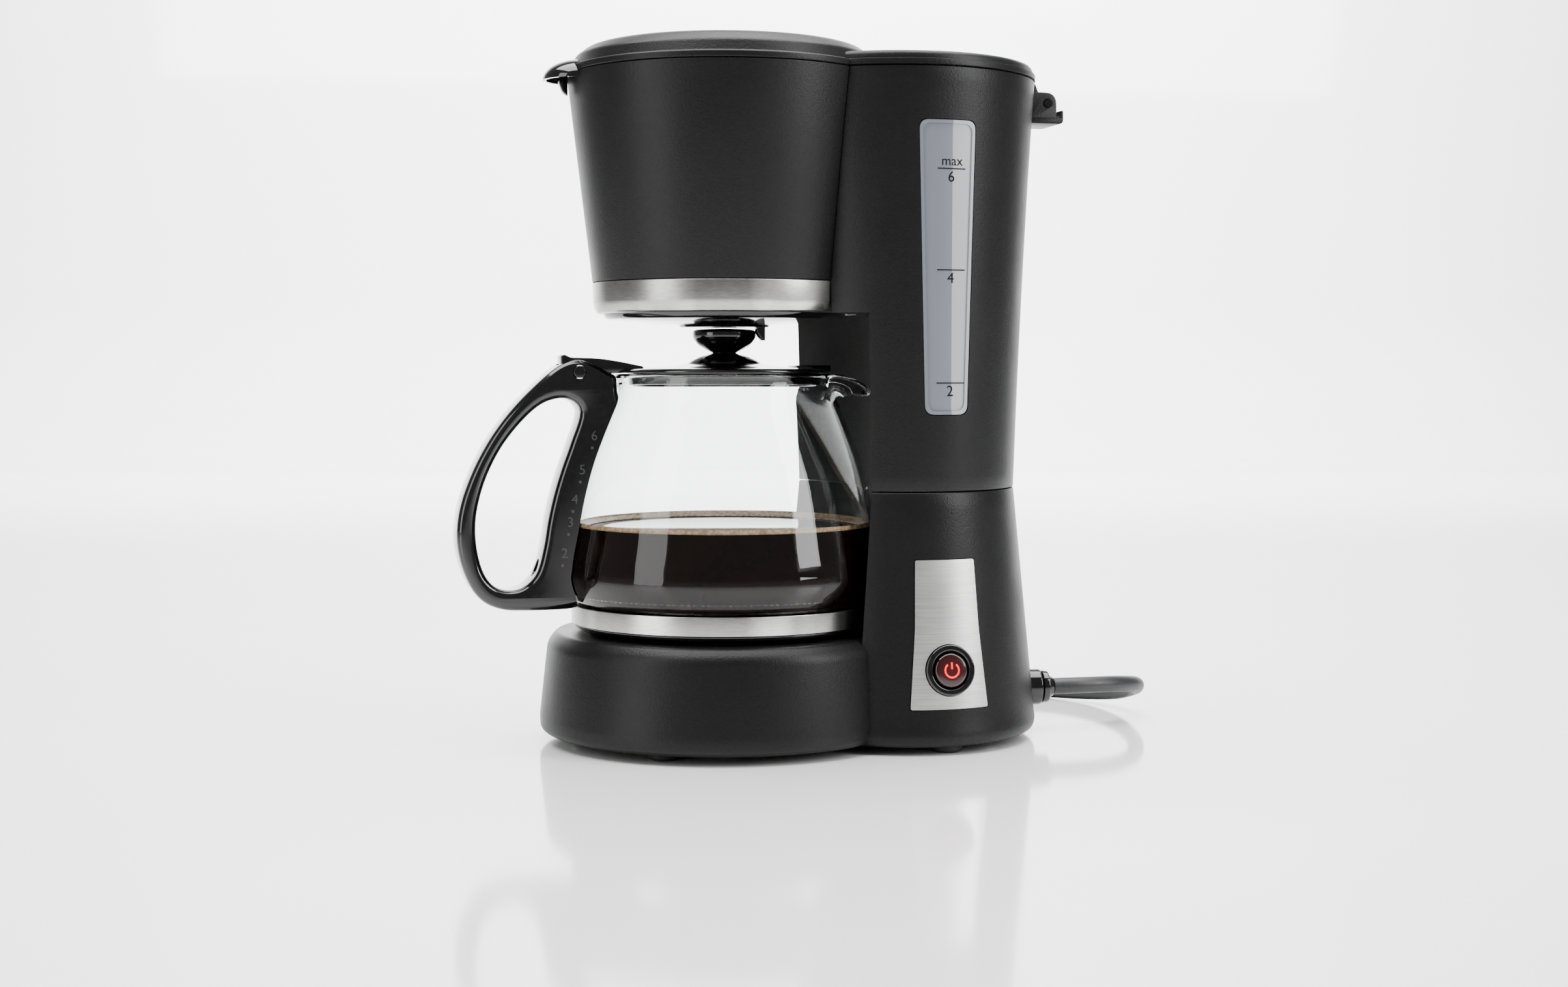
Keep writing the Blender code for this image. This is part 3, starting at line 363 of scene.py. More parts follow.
def gloss_plastic(name, base, rough=0.07):
    """Polished plastic with a slight moulding ripple and faint dust in its gloss."""
    made, nodes, links, shader = blank(name)
    ripple = texture(nodes, links, "ShaderNodeTexNoise", 60.0, detail=1.0)
    haze = texture(nodes, links, "ShaderNodeTexNoise", 500.0, detail=5.0)
    lighter = tuple(c * 1.5 + 0.001 for c in base)
    colour = blend_colours(nodes, links, haze.outputs["Fac"], base, lighter)
    links.new(colour, shader.inputs["Base Color"])
    links.new(remap(nodes, links, haze.outputs["Fac"], rough, rough + 0.05), shader.inputs["Roughness"])
    bump(nodes, links, shader, ripple.outputs["Fac"], 0.05, 0.0004)
    shader.inputs["Coat Weight"].default_value = 0.3
    shader.inputs["Coat Roughness"].default_value = 0.04
    return made


def brushed_steel(name, stretch, tone, rough, strength, scale, painted_reflection_zones=0.0):
    """Satin steel whose grain runs across the long way of stretch, with upright darker zones painted into
    its colour as reflections of dark surroundings.
    """
    made, nodes, links, shader = blank(name)
    lines = texture(nodes, links, "ShaderNodeTexNoise", scale, stretch, detail=4.0)
    cloud = texture(nodes, links, "ShaderNodeTexNoise", 30.0, detail=2.0)
    darker = tuple(c * 0.86 for c in tone)
    lighter = tuple(min(1.0, c * 1.12) for c in tone)
    colour = blend_colours(nodes, links, lines.outputs["Fac"], darker, lighter)
    # Painted reflection: broad upright streaks darken the steel's colour, standing in for dark surroundings
    # mirrored in it.
    painted_reflection_streaks = texture(nodes, links, "ShaderNodeTexNoise", 30.0, (1.0, 1.0, 0.02), detail=1.0)
    painted_reflection_dim = nodes.new("ShaderNodeHueSaturation")
    value = remap(nodes, links, painted_reflection_streaks.outputs["Fac"], 1.0 - painted_reflection_zones, 1.0, 0.44, 0.56)
    links.new(value, painted_reflection_dim.inputs["Value"])
    links.new(colour, painted_reflection_dim.inputs["Color"])
    links.new(painted_reflection_dim.outputs["Color"], shader.inputs["Base Color"])
    wear = remap(nodes, links, cloud.outputs["Fac"], rough - 0.03, rough + 0.06)
    links.new(wear, shader.inputs["Roughness"])
    bump(nodes, links, shader, lines.outputs["Fac"], strength, 0.00005)
    shader.inputs["Metallic"].default_value = 1.0
    return made


def clear_glass():
    made, nodes, links, shader = blank("jug_glass")
    film = texture(nodes, links, "ShaderNodeTexNoise", 25.0, detail=2.0)
    links.new(remap(nodes, links, film.outputs["Fac"], 0.0, 0.012), shader.inputs["Roughness"])
    bump(nodes, links, shader, film.outputs["Fac"], 0.02, 0.0005)
    shader.inputs["Base Color"].default_value = (0.97, 0.98, 0.98, 1.0)
    shader.inputs["Transmission Weight"].default_value = 1.0
    shader.inputs["IOR"].default_value = 1.40
    return made


def gauge_plastic():
    """Frosted tank plastic: a darker water side and a lighter strip on its right."""
    made, nodes, links, shader = blank("gauge_plastic")
    coords = nodes.new("ShaderNodeTexCoord")
    split = nodes.new("ShaderNodeSeparateXYZ")
    links.new(coords.outputs["Object"], split.inputs["Vector"])
    edge = (GAUGE_X + 1.9) * MM
    side = remap(nodes, links, split.outputs["X"], 0.0, 1.0, edge - 0.00012, edge + 0.00012)
    cloud = texture(nodes, links, "ShaderNodeTexNoise", 22.0, (1.0, 1.0, 0.35), detail=3.0)
    left = blend_colours(nodes, links, cloud.outputs["Fac"], (0.125, 0.135, 0.160), (0.137, 0.147, 0.173))
    right = blend_colours(nodes, links, cloud.outputs["Fac"], (0.31, 0.32, 0.34), (0.33, 0.34, 0.36))
    mix = nodes.new("ShaderNodeMix")
    mix.data_type = "RGBA"
    links.new(side, mix.inputs["Factor"])
    links.new(left, mix.inputs[6])
    links.new(right, mix.inputs[7])
    links.new(mix.outputs[2], shader.inputs["Base Color"])
    links.new(remap(nodes, links, cloud.outputs["Fac"], 0.34, 0.40), shader.inputs["Roughness"])
    return made


def coffee_liquid():
    made, nodes, links, shader = blank("coffee")
    swirl = texture(nodes, links, "ShaderNodeTexNoise", 35.0, detail=3.0, distortion=1.5)
    dark, light = (0.0030, 0.0010, 0.0006), (0.0070, 0.0024, 0.0014)
    colour = blend_colours(nodes, links, swirl.outputs["Fac"], dark, light)
    links.new(colour, shader.inputs["Base Color"])
    links.new(remap(nodes, links, swirl.outputs["Fac"], 0.03, 0.07), shader.inputs["Roughness"])
    shader.inputs["Specular IOR Level"].default_value = 0.08
    return made


def coffee_foam():
    made, nodes, links, shader = blank("coffee_foam")
    bubbles = texture(nodes, links, "ShaderNodeTexVoronoi", 700.0)
    tan, brown = (0.62, 0.47, 0.29), (0.30, 0.18, 0.09)
    colour = blend_colours(nodes, links, bubbles.outputs["Distance"], tan, brown, 0.0, 0.8)
    links.new(colour, shader.inputs["Base Color"])
    bump(nodes, links, shader, bubbles.outputs["Distance"], 0.4, 0.0003)
    gloss = remap(nodes, links, bubbles.outputs["Distance"], 0.2, 0.45, 0.0, 0.8)
    links.new(gloss, shader.inputs["Roughness"])
    return made


def rubber(name, base, rough=0.62):
    made, nodes, links, shader = blank(name)
    grain = texture(nodes, links, "ShaderNodeTexNoise", 900.0, detail=4.0)
    lighter = tuple(c * 1.7 for c in base)
    links.new(blend_colours(nodes, links, grain.outputs["Fac"], base, lighter), shader.inputs["Base Color"])
    gloss = remap(nodes, links, grain.outputs["Fac"], rough - 0.06, rough + 0.08)
    links.new(gloss, shader.inputs["Roughness"])
    bump(nodes, links, shader, grain.outputs["Fac"], 0.1, 0.0002)
    return made


def milky_silicone():
    made, nodes, links, shader = blank("milky_silicone")
    cloud = texture(nodes, links, "ShaderNodeTexNoise", 120.0, detail=3.0)
    colour = blend_colours(nodes, links, cloud.outputs["Fac"], (0.58, 0.57, 0.53), (0.72, 0.71, 0.68))
    links.new(colour, shader.inputs["Base Color"])
    links.new(remap(nodes, links, cloud.outputs["Fac"], 0.35, 0.5), shader.inputs["Roughness"])
    shader.inputs["Subsurface Weight"].default_value = 0.3
    shader.inputs["Subsurface Radius"].default_value = (0.002, 0.002, 0.002)
    return made


def filter_weave():
    """A golden woven mesh: two crossed waves make its threads."""
    made, nodes, links, shader = blank("filter_weave")
    coords = nodes.new("ShaderNodeTexCoord")
    heights = []
    for direction in ("X", "Z"):
        wave = nodes.new("ShaderNodeTexWave")
        wave.bands_direction = direction
        wave.inputs["Scale"].default_value = 420.0
        wave.inputs["Distortion"].default_value = 0.4
        links.new(coords.outputs["Object"], wave.inputs["Vector"])
        heights.append(wave.outputs["Fac"])
    threads = nodes.new("ShaderNodeMath")
    threads.operation = "MAXIMUM"
    links.new(heights[0], threads.inputs[0])
    links.new(heights[1], threads.inputs[1])
    colour = blend_colours(nodes, links, threads.outputs["Value"], (0.10, 0.07, 0.03), (0.52, 0.40, 0.18))
    links.new(colour, shader.inputs["Base Color"])
    bump(nodes, links, shader, threads.outputs["Value"], 0.5, 0.0002)
    shader.inputs["Roughness"].default_value = 0.45
    shader.inputs["Metallic"].default_value = 0.4
    return made


def lamp_red():
    made, nodes, links, shader = blank("lamp_red")
    glow = texture(nodes, links, "ShaderNodeTexNoise", 300.0, detail=2.0)
    colour = blend_colours(nodes, links, glow.outputs["Fac"], (0.80, 0.005, 0.005), (1.0, 0.012, 0.01))
    links.new(colour, shader.inputs["Base Color"])
    links.new(colour, shader.inputs["Emission Color"])
    shader.inputs["Emission Strength"].default_value = 1.4
    return made


def button_plastic():
    made, nodes, links, shader = blank("button_plastic")
    coords = nodes.new("ShaderNodeTexCoord")
    length = nodes.new("ShaderNodeVectorMath")
    length.operation = "LENGTH"
    links.new(coords.outputs["Object"], length.inputs[0])
    # Painted glow: the cap's colour is lighter red at its centre and near black at its rim, standing in for
    # the light of the lamp behind the symbol.
    colour = blend_colours(
        nodes, links, remap(nodes, links, length.outputs["Value"], 0.0, 1.0, 0.001, 0.0066),
        (0.075, 0.003, 0.003), (0.008, 0.001, 0.001), 0.0, 1.0,
    )
    links.new(colour, shader.inputs["Base Color"])
    shader.inputs["Roughness"].default_value = 0.18
    shader.inputs["Coat Weight"].default_value = 0.5
    return made


def gauge_ink():
    made, nodes, links, shader = blank("gauge_ink")
    print_noise = texture(nodes, links, "ShaderNodeTexNoise", 1500.0, detail=2.0)
    dark, light = (0.003, 0.003, 0.0035), (0.006, 0.006, 0.007)
    colour = blend_colours(nodes, links, print_noise.outputs["Fac"], dark, light)
    links.new(colour, shader.inputs["Base Color"])
    shader.inputs["Roughness"].default_value = 0.6
    shader.inputs["Specular IOR Level"].default_value = 0.1
    return made


MATTE = grained_plastic("matte_black", (0.0035, 0.0035, 0.0036), (0.0055, 0.0055, 0.0057), 0.38, 0.30)
INNER = grained_plastic("inner_black", (0.010, 0.010, 0.0105), (0.016, 0.016, 0.017), 0.50, 0.12, 900.0)
GLOSS = gloss_plastic("gloss_black", (0.0022, 0.0022, 0.0024))
# The last number of each steel is the strength of its painted reflection zones.
BAND_STEEL = brushed_steel("band_steel", (1.0, 1.0, 9.0), (0.86, 0.85, 0.83), 0.24, 0.14, 320.0, 0.55)
PLATE_STEEL = brushed_steel("plate_steel", (0.25, 0.25, 12.0), (0.84, 0.83, 0.82), 0.30, 0.30, 240.0, 0.12)
PLAIN_STEEL = brushed_steel("plain_steel", (1.0, 1.0, 1.0), (0.58, 0.58, 0.58), 0.30, 0.12, 500.0)
COATED = grained_plastic("coated_steel", (0.030, 0.030, 0.031), (0.048, 0.048, 0.050), 0.32, 0.10, 700.0)
CAST = brushed_steel("cast_aluminium", (1.0, 1.0, 1.0), (0.50, 0.50, 0.51), 0.42, 0.35, 420.0)
GLASS = clear_glass()
GAUGE = gauge_plastic()
INK = gauge_ink()
# Painted highlight: the handle's raised digits and dots are the same gloss black plastic, drawn lighter to
# stand in for the light on their edges.
PAINTED_HIGHLIGHT_MARK = gloss_plastic("raised_mark_painted_highlight", (0.035, 0.035, 0.036), 0.16)
COFFEE = coffee_liquid()
FOAM = coffee_foam()
RUBBER = rubber("soft_rubber", (0.014, 0.014, 0.014))
CORD_SKIN = rubber("cord_sheath", (0.012, 0.012, 0.013), 0.42)
SILICONE = milky_silicone()
WEAVE = filter_weave()
LAMP = lamp_red()
BUTTON = button_plastic()


# Stage, lights and camera

CAMERA_PLACE = Vector((-212.5, -814.5, 140.0)) * MM
CAMERA_HEADING = math.radians(-15.0)
CAMERA_SHIFT = -0.0787


def camera():
    data = bpy.data.cameras.new("camera")
    data.lens = 50.08
    data.sensor_width = 36.0
    data.shift_y = CAMERA_SHIFT
    data.clip_start = 0.01
    obj = bpy.data.objects.new("camera", data)
    bpy.context.scene.collection.objects.link(obj)
    obj.location = CAMERA_PLACE
    obj.rotation_euler = (math.pi / 2, 0.0, CAMERA_HEADING)
    bpy.context.scene.camera = obj


def area_light(name, place, target, size, power):
    data = bpy.data.lights.new(name, "AREA")
    data.shape = "RECTANGLE"
    data.size = size[0]
    data.size_y = size[1]
    data.energy = power
    obj = bpy.data.objects.new(name, data)
    bpy.context.scene.collection.objects.link(obj)
    obj.location = place
    aim = Vector(target) - Vector(place)
    obj.rotation_mode = "QUATERNION"
    obj.rotation_quaternion = aim.to_track_quat("-Z", "Y")
    return obj


def stage():
    """A pale sweep: a flat floor that curves up into a wall far behind."""
    shape = bmesh.new()
    rows = []
    outline = [(-3.0, 0.0), (0.0, 0.0), (2.2, 0.0)]
    for i in range(1, 13):
        angle = math.pi / 2 * i / 12
        outline.append((2.2 + 0.9 * math.sin(angle), 0.9 - 0.9 * math.cos(angle)))
    outline.append((3.1, 3.4))
    for depth, height in outline:
        rows.append([shape.verts.new((x, depth, height)) for x in (-3.5, 3.5)])
    for a, b in zip(rows, rows[1:]):
        shape.faces.new((a[0], a[1], b[1], b[0]))
    sweep = new_object("sweep", finish_mesh(shape, "sweep", 60.0))
    sweep.rotation_euler = (0.0, 0.0, CAMERA_HEADING)
    made, nodes, links, shader = blank("pale_sweep")
    cloud = texture(nodes, links, "ShaderNodeTexNoise", 3.0, detail=2.0)
    colour = blend_colours(nodes, links, cloud.outputs["Fac"], (0.86, 0.86, 0.86), (0.88, 0.88, 0.88))
    links.new(colour, shader.inputs["Base Color"])
    shader.inputs["Roughness"].default_value = 0.10
    sweep.data.materials.append(made)


def lights():
    world = bpy.data.worlds.new("studio")
    world.use_nodes = True
    background = world.node_tree.nodes["Background"]
    background.inputs["Color"].default_value = (1.0, 1.0, 1.0, 1.0)
    background.inputs["Strength"].default_value = 0.25
    bpy.context.scene.world = world
    area_light("left_wall", (-1.1, -0.45, 0.5), (0.0, 0.0, 0.14), (0.5, 1.0), 7.0)
    area_light("right_wall", (1.0, -0.85, 0.8), (0.05, 0.0, 0.5), (0.45, 1.1), 20.0)
    area_light("top_sheet", (0.0, 0.1, 1.7), (0.0, 0.1, 0.0), (2.2, 1.6), 110.0)
    area_light("back_wash", (0.3, 1.5, 1.3), (0.6, 2.9, 0.6), (3.0, 1.0), 230.0)


# Tank and body shapes

def tank_radii(z):
    s = (z - TANK_BOTTOM) / (HOUSING_TOP - TANK_BOTTOM)
    t = 0.7 * s + 0.3 * s * s
    return 46.9 + 9.1 * t, 55.1 + 3.1 * t


def column_radii(z):
    t = (z - 9.0) / (TANK_BOTTOM - 9.0)
    return 54.45 - 7.55 * t, 65.55 - 10.45 * t


def tank_sections(low=TANK_BOTTOM + 0.3, high=HOUSING_TOP, edge=0.5):
    sections = [(low, *(r - edge for r in tank_radii(low)))]
    sections.append((low + edge * 0.3, *(r - edge * 0.3 for r in tank_radii(low))))
    count = 30
    for i in range(count + 1):
        z = low + edge + (high - low - 2 * edge) * i / count
        sections.append((z, *tank_radii(z)))
    sections.append((high - edge * 0.3, *(r - edge * 0.3 for r in tank_radii(high))))
    sections.append((high, *(r - edge for r in tank_radii(high))))
    return sections


def column_sections():
    foot = [(3.0, 2.3), (3.2, 1.7), (3.6, 1.1), (4.2, 0.6), (5.0, 0.25), (6.2, 0.02), (7.5, 0.0)]
    sections = [(z, 54.72 - inset, 65.9 - inset) for z, inset in foot]
    for i in range(15):
        z = 9.0 + 85.4 * i / 14
        sections.append((z, *column_radii(z)))
    top_rx, top_ry = column_radii(TANK_BOTTOM)
    sections.append((94.8, top_rx - 0.15, top_ry - 0.15))
    sections.append((TANK_BOTTOM, top_rx - 0.5, top_ry - 0.5))
    return sections


def plain_cylinder(name, radius, low, high, x=BREW_X, y=0.0):
    return turned(name, [(0, high), (radius, high), (radius, low), (0, low)], (x, y, 0.0))


def brew_space(name, grow, low, high):
    slope = 9.7 / 78.5
    top_r = 60.1 + (high - HOUSING_TOP) * slope + grow
    profile = [(0, high), (top_r, high), (50.4 + grow, 173.3), (50.4 + grow, low), (0, low)]
    return turned(name, profile)


def window_outline(inset):
    top = 11.5 - inset
    low = 8.7 - inset
    corners = [
        (GAUGE_X - low, 123.3 + inset, 3.6), (GAUGE_X + low, 123.3 + inset, 3.6),
        (GAUGE_X + top, 232.1 - inset, 3.6), (GAUGE_X - top, 232.1 - inset, 3.6),
    ]
    return soften(corners, True, 8)


def plate_outline(inset):
    corners = [
        (PLATE_X - 15.2 + inset, 16.8 + inset, 0.8), (PLATE_X + 15.2 - inset, 16.8 + inset, 0.8),
        (PLATE_X + 12.6 - inset, 45.0, 4.0),
        (PLATE_X + 11.6 - inset, 70.5 - inset, 0.8), (PLATE_X - 11.6 + inset, 70.5 - inset, 0.8),
        (PLATE_X - 12.6 + inset, 45.0, 4.0),
    ]
    return soften(corners, True, 4)


def switch_axis():
    return Vector((0.0, math.cos(SWITCH_TILT), -math.sin(SWITCH_TILT)))


def on_switch_axis(depth):
    return SWITCH + switch_axis() * depth


def lower_body():
    profile = [
        (0, BASE_TOP), (64.0, BASE_TOP, 1.2), (67.4, 37.3, 3.0), (70.4, 8.6, 3.0), (69.9, 4.4, 2.4),
        (66.2, 3.0, 0.6), (0, 3.0),
    ]
    body = turned("lower_body", profile)
    column = lobe("column", column_sections())
    cut(column, plain_cylinder("bay", BAY_R, 38.0, 100.0))
    join(body, column)
    hollow = [(0, 37.0), (56.0, 37.0), (57.2, 38.4), (62.6, 38.4), (64.6, 36.6), (67.7, 8.6), (63.8, 6.0),
              (63.8, 2.0), (0, 2.0)]
    inner_sections = [(2.0, 50.1, 61.3), (6.0, 50.1, 61.3), (8.6, 52.0, 63.1), (92.5, 44.6, 52.8)]
    inner = cut(lobe("inner", inner_sections), plain_cylinder("bay_wall", BAY_R + 2.5, 35.4, 100.0))
    recess = [(0, 45.0), (52.9, 45.0), (52.9, 38.6), (49.5, 38.6), (49.5, 35.0), (0, 35.0)]
    cut(body, turned("hollow", hollow), inner, turned("recess", recess))
    cut(body, plain_cylinder("valve_hole", 5.4, 91, 97, BREW_X + 84.0, 20.0))
    cut(body, plain_cylinder("riser_hole", 3.5, 91, 97, BREW_X + 72.0, 0.0))
    cut(body, rod("switch_hole", on_switch_axis(-6), on_switch_axis(9), 9.5, 96))
    pocket = slab("pocket", [plate_outline(-0.3)], -62.0, 24.0)
    cut(pocket, lobe("pocket_floor", column_sections(), -0.9))
    cut(body, pocket, rod("gland_hole", gland_point(-8), gland_point(8), 7.3, 64))
    piece(body, "housing", MATTE, "matte_black_plastic", "base_housing")


def switch_plate():
    plate = slab("switch_plate_fine", [plate_outline(0.0)], -62.0, 24.0)
    combine(plate, "INTERSECT", lobe("plate_face", column_sections(), 0.35))
    cut(plate, lobe("plate_back", column_sections(), -0.6))
    cut(plate, rod("plate_hole", on_switch_axis(-6), on_switch_axis(9), 9.5, 96))
    piece(plate, "housing", PLATE_STEEL, "satin_steel", "switch_plate")


def upper_tank():
    tank = lobe("upper_tank", tank_sections())
    cut(tank, plain_cylinder("bay_high", BAY_R, 90.0, BAY_TOP))
    cut(tank, brew_space("tower_space", 0.3, 160.0, 253.0))
    x0 = BREW_X + 120.7
    shelf_line = [
        (x0, 237.2), (BREW_X + 135.5, 237.2, 1.8), (BREW_X + 135.5, 242.5, 0.5),
        (BREW_X + 134.2, 242.5, 0.4), (BREW_X + 133.8, 240.0, 0.8), (x0, 239.8),
    ]
    ear = [(x0, 237.5), (BREW_X + 132.6, 237.5, 0.4), (BREW_X + 132.6, 249.5, 4.6), (x0, 249.5)]
    join(tank, slab("shelf", [soften(shelf_line, True)], 0.0, 20.0, 0.3, 1))
    for y in (-8.5, 8.5):
        join(tank, slab("ear", [soften(ear, True)], y, 3.0, 0.3, 1))
    inner = lobe("tank_inner", tank_sections(98.3, 253.0, 0.01), -2.8)
    cut(inner, plain_cylinder("tank_bay", BAY_R + 2.8, 90.0, BAY_TOP + 2.8))
    cut(inner, brew_space("tank_tower", 2.9, 160.0, 254.0))
    cut(tank, inner, slab("window_hole", [window_outline(0.0)], -58.0, 20.0))
    cut(tank, plain_cylinder("valve_hole", 5.4, 94, 100, BREW_X + 84.0, 20.0))
    cut(tank, plain_cylinder("riser_hole", 3.5, 94, 100, BREW_X + 72.0, 0.0))
    cut(tank, rod("pin_holes", (HINGE[0], -12, HINGE[2]), (HINGE[0], 12, HINGE[2]), 1.8))
    piece(tank, "housing", MATTE, "matte_black_plastic", "tank_housing")


def face_y(x, z, grow):
    """The front face's y on the upper tank at a point of its outline."""
    rx, ry = tank_radii(z)
    across = (x - TANK_X) / (rx + grow)
    return -(ry + grow) * math.sqrt(1.0 - across * across)


def gauge():
    """The clear gauge: a flat face with a raised lip all round, and its printed marks."""
    sections = tank_sections(94.0, 253.0, 0.01)
    window = slab("gauge_window", [window_outline(0.3)], -58.0, 20.0)
    combine(window, "INTERSECT", lobe("gauge_face", sections, -0.15))
    cut(window, lobe("gauge_back", sections, -2.4))
    recess = slab("gauge_recess", [window_outline(1.5)], -58.0, 20.0)
    cut(recess, lobe("gauge_floor", sections, -0.75))
    cut(window, recess)
    piece(window, "housing", GAUGE, "tank_window", "water_window")
    marks = []
    for z, number in ((214.0, "6"), (176.8, "4"), (135.2, "2")):
        marks.append((gauge_line(), GAUGE_X + 1.6, z))
        marks.append((text_mesh("gauge_number", number, 5.6), GAUGE_X + 1.4, z - 4.8))
    marks.append((text_mesh("gauge_word", "max", 5.1), GAUGE_X + 1.7, 215.2))
    for number, (mark, x, z) in enumerate(marks, 1):
        wrap_mark(mark, x, z)
        mark.name = f"gauge_mark_{number}"
        piece(mark, "housing", INK, "gloss_black_plastic")


def gauge_line():
    """A thin bar with cross cuts, so that it can bend round the gauge's face."""
    shape = bmesh.new()
    loops = []
    for step in range(13):
        x = -5.6 + 11.2 * step / 12
        corners = ((-0.1, -0.2), (0.06, -0.2), (0.06, 0.2), (-0.1, 0.2))
        loops.append([shape.verts.new((x * MM, y * MM, z * MM)) for y, z in corners])
    for a, b in zip(loops, loops[1:]):
        for i in range(4):
            j = (i + 1) % 4
            shape.faces.new((a[i], a[j], b[j], b[i]))
    shape.faces.new(loops[0])
    shape.faces.new(loops[-1])
    return new_object("gauge_line", finish_mesh(shape, "gauge_line", 50.0))


def text_mesh(name, words, size):
    """Standing letters in an XZ plane, centred on x = 0."""
    curve = bpy.data.curves.new(name, "FONT")
    curve.body = words
    curve.size = size * MM
    curve.align_x = "CENTER"
    curve.extrude = 0.00006
    curve.resolution_u = 3
    return mesh_from_curve(name, curve, Matrix.Rotation(math.pi / 2, 4, "X"), 60.0)


def wrap_mark(mark, x, z):
    """Bends a mark onto the gauge's face."""
    for vertex in mark.data.vertices:
        px = vertex.co.x / MM + x
        pz = vertex.co.z / MM + z
        vertex.co = Vector((px, face_y(px, pz, -0.72) + vertex.co.y / MM, pz)) * MM
    mark.location = (0.0, 0.0, 0.0)


def tower():
    shell = [
        (60.1, HOUSING_TOP, 0.4), (50.4, 173.3, 0.3), (47.4, 173.3), (47.0, 170.0), (47.7, 176.0),
        (57.6, HOUSING_TOP, 0.3),
    ]
    piece(turned("tower_shell", shell, ring=True), "housing", MATTE, "matte_black_plastic", "filter_housing")
    dish = [
        (47.2, 172.8), (46.8, 161.4, 1.2), (45.2, 159.2, 1.2), (30.0, 158.0, 3.0), (17.4, 157.2, 0.4),
        (16.8, 156.3, 0.3), (8.0, 156.3, 0.4), (8.0, 159.4), (40.0, 161.6), (44.4, 164.5), (46.6, 172.8),
    ]
    floor = turned("tower_floor", dish, ring=True)
    latch_line = [
        (BREW_X + 9.9, 158.0), (BREW_X + 9.9, 154.4, 1.0), (BREW_X + 11.8, 151.2, 1.0),
        (BREW_X + 13.2, 151.2, 0.4), (BREW_X + 13.2, 158.0),
    ]
    join(floor, slab("latch", [soften(latch_line, True)], -10.1, 3.8, 0.3, 2))
    piece(floor, "housing", GLOSS, "gloss_black_plastic")
    band = [
        (50.45, 173.0, 0.3), (50.1, 164.4, 2.0), (48.9, 161.6, 1.2), (47.6, 161.2, 0.3), (47.1, 161.8, 0.3),
        (48.6, 164.6, 1.0), (49.0, 173.0, 0.3),
    ]
    piece(turned("trim_band_fine", band, ring=True), "housing", BAND_STEEL, "satin_steel", "trim_band")


def lid():
    raised = [
        (0, 263.0), (49.5, 262.9, 4.0), (52.8, 261.9, 1.6), (57.0, 258.7, 0.9), (58.5, 254.6, 0.25),
        (58.9, 254.2, 0.15), (60.3, 254.15, 0.5), (60.3, 251.8, 0.4), (0, 251.8),
    ]
    cover = turned("lid_cover", raised)
    tank_top = [
        (251.85, 56.0, 58.2), (252.0, 56.3, 58.5), (253.8, 56.35, 58.55), (254.1, 56.2, 58.4),
        (254.25, 55.8, 58.0), (254.3, 55.4, 57.6), (255.6, 55.2, 57.4), (256.3, 54.9, 57.1),
        (256.9, 54.3, 56.5), (257.25, 53.4, 55.6), (257.4, 52.2, 54.4), (257.5, 45.0, 47.2),
    ]
    join(cover, lobe("lid_tank", tank_top))
    hollow = [(0, 261.2), (49.6, 261.2), (55.0, 257.4), (56.8, 253.6), (57.4, 251.0), (0, 251.0)]
    cut(cover, turned("lid_hollow", hollow))
    cut(cover, lobe("lid_hollow_tank", [(251.0, 53.6, 55.8), (254.2, 53.2, 55.4), (255.5, 52.2, 54.4)]))
    arm = [
        (BREW_X + 118.6, 252.4), (BREW_X + 123.1, 252.2, 0.4), (BREW_X + 123.2, 249.4, 1.0),
        (BREW_X + 125.0, 246.6, 1.0), (BREW_X + 125.1, 241.6, 3.6), (BREW_X + 132.4, 241.6, 3.6),
        (BREW_X + 132.4, 248.8, 3.4), (BREW_X + 126.4, 249.4, 1.6), (BREW_X + 125.0, 253.6, 1.6),
        (BREW_X + 118.6, 255.6),
    ]
    join(cover, slab("lid_knuckle", [soften(arm, True)], 0.0, 13.0, 0.4, 2))
    cut(cover, rod("knuckle_hole", (HINGE[0], -8, HINGE[2]), (HINGE[0], 8, HINGE[2]), 1.8))
    piece(cover, "lid", MATTE, "matte_black_plastic", "top_lid")
    tab = hood(14.0, 8.0, 0.0)
    cut(tab, hood(12.7, 6.9, -1.0))
    rib = [
        (BREW_X - 64.6, 254.5), (BREW_X - 64.2, 248.2, 1.0), (BREW_X - 62.8, 244.4, 1.5),
        (BREW_X - 60.8, 243.0, 0.3), (BREW_X - 60.8, 255.8), (BREW_X - 62.0, 255.6),
    ]
    join(tab, slab("tab_rib", [soften(rib, True)], 0.0, 3.0, 0.4, 2))
    seat = [(0, 264.0), (49.0, 263.2), (53.0, 262.1), (57.2, 258.8), (58.7, 254.7), (60.5, 254.3),
            (60.5, 230.0), (0, 230.0)]
    cut(tab, turned("tab_seat", seat))
    piece(tab, "lid", GLOSS, "gloss_black_plastic", "lid_finger_tab")


def hood(reach, rise, low):
    """The part above low of a flattened ball at the lid's edge."""
    shape = bmesh.new()
    bmesh.ops.create_uvsphere(shape, u_segments=96, v_segments=48, radius=MM)
    bmesh.ops.scale(shape, vec=(reach, reach, rise), verts=shape.verts)
    geometry = [*shape.verts, *shape.edges, *shape.faces]
    place = Vector((0.0, 0.0, low * MM))
    found = bmesh.ops.bisect_plane(
        shape, geom=geometry, plane_co=place, plane_no=(0, 0, -1), clear_outer=True,
    )
    rim = [item for item in found["geom_cut"] if isinstance(item, bmesh.types.BMEdge)]
    bmesh.ops.holes_fill(shape, edges=rim)
    return new_object("finger_tab", finish_mesh(shape, "finger_tab"), (BREW_X - 56.0, 0.0, 248.9))


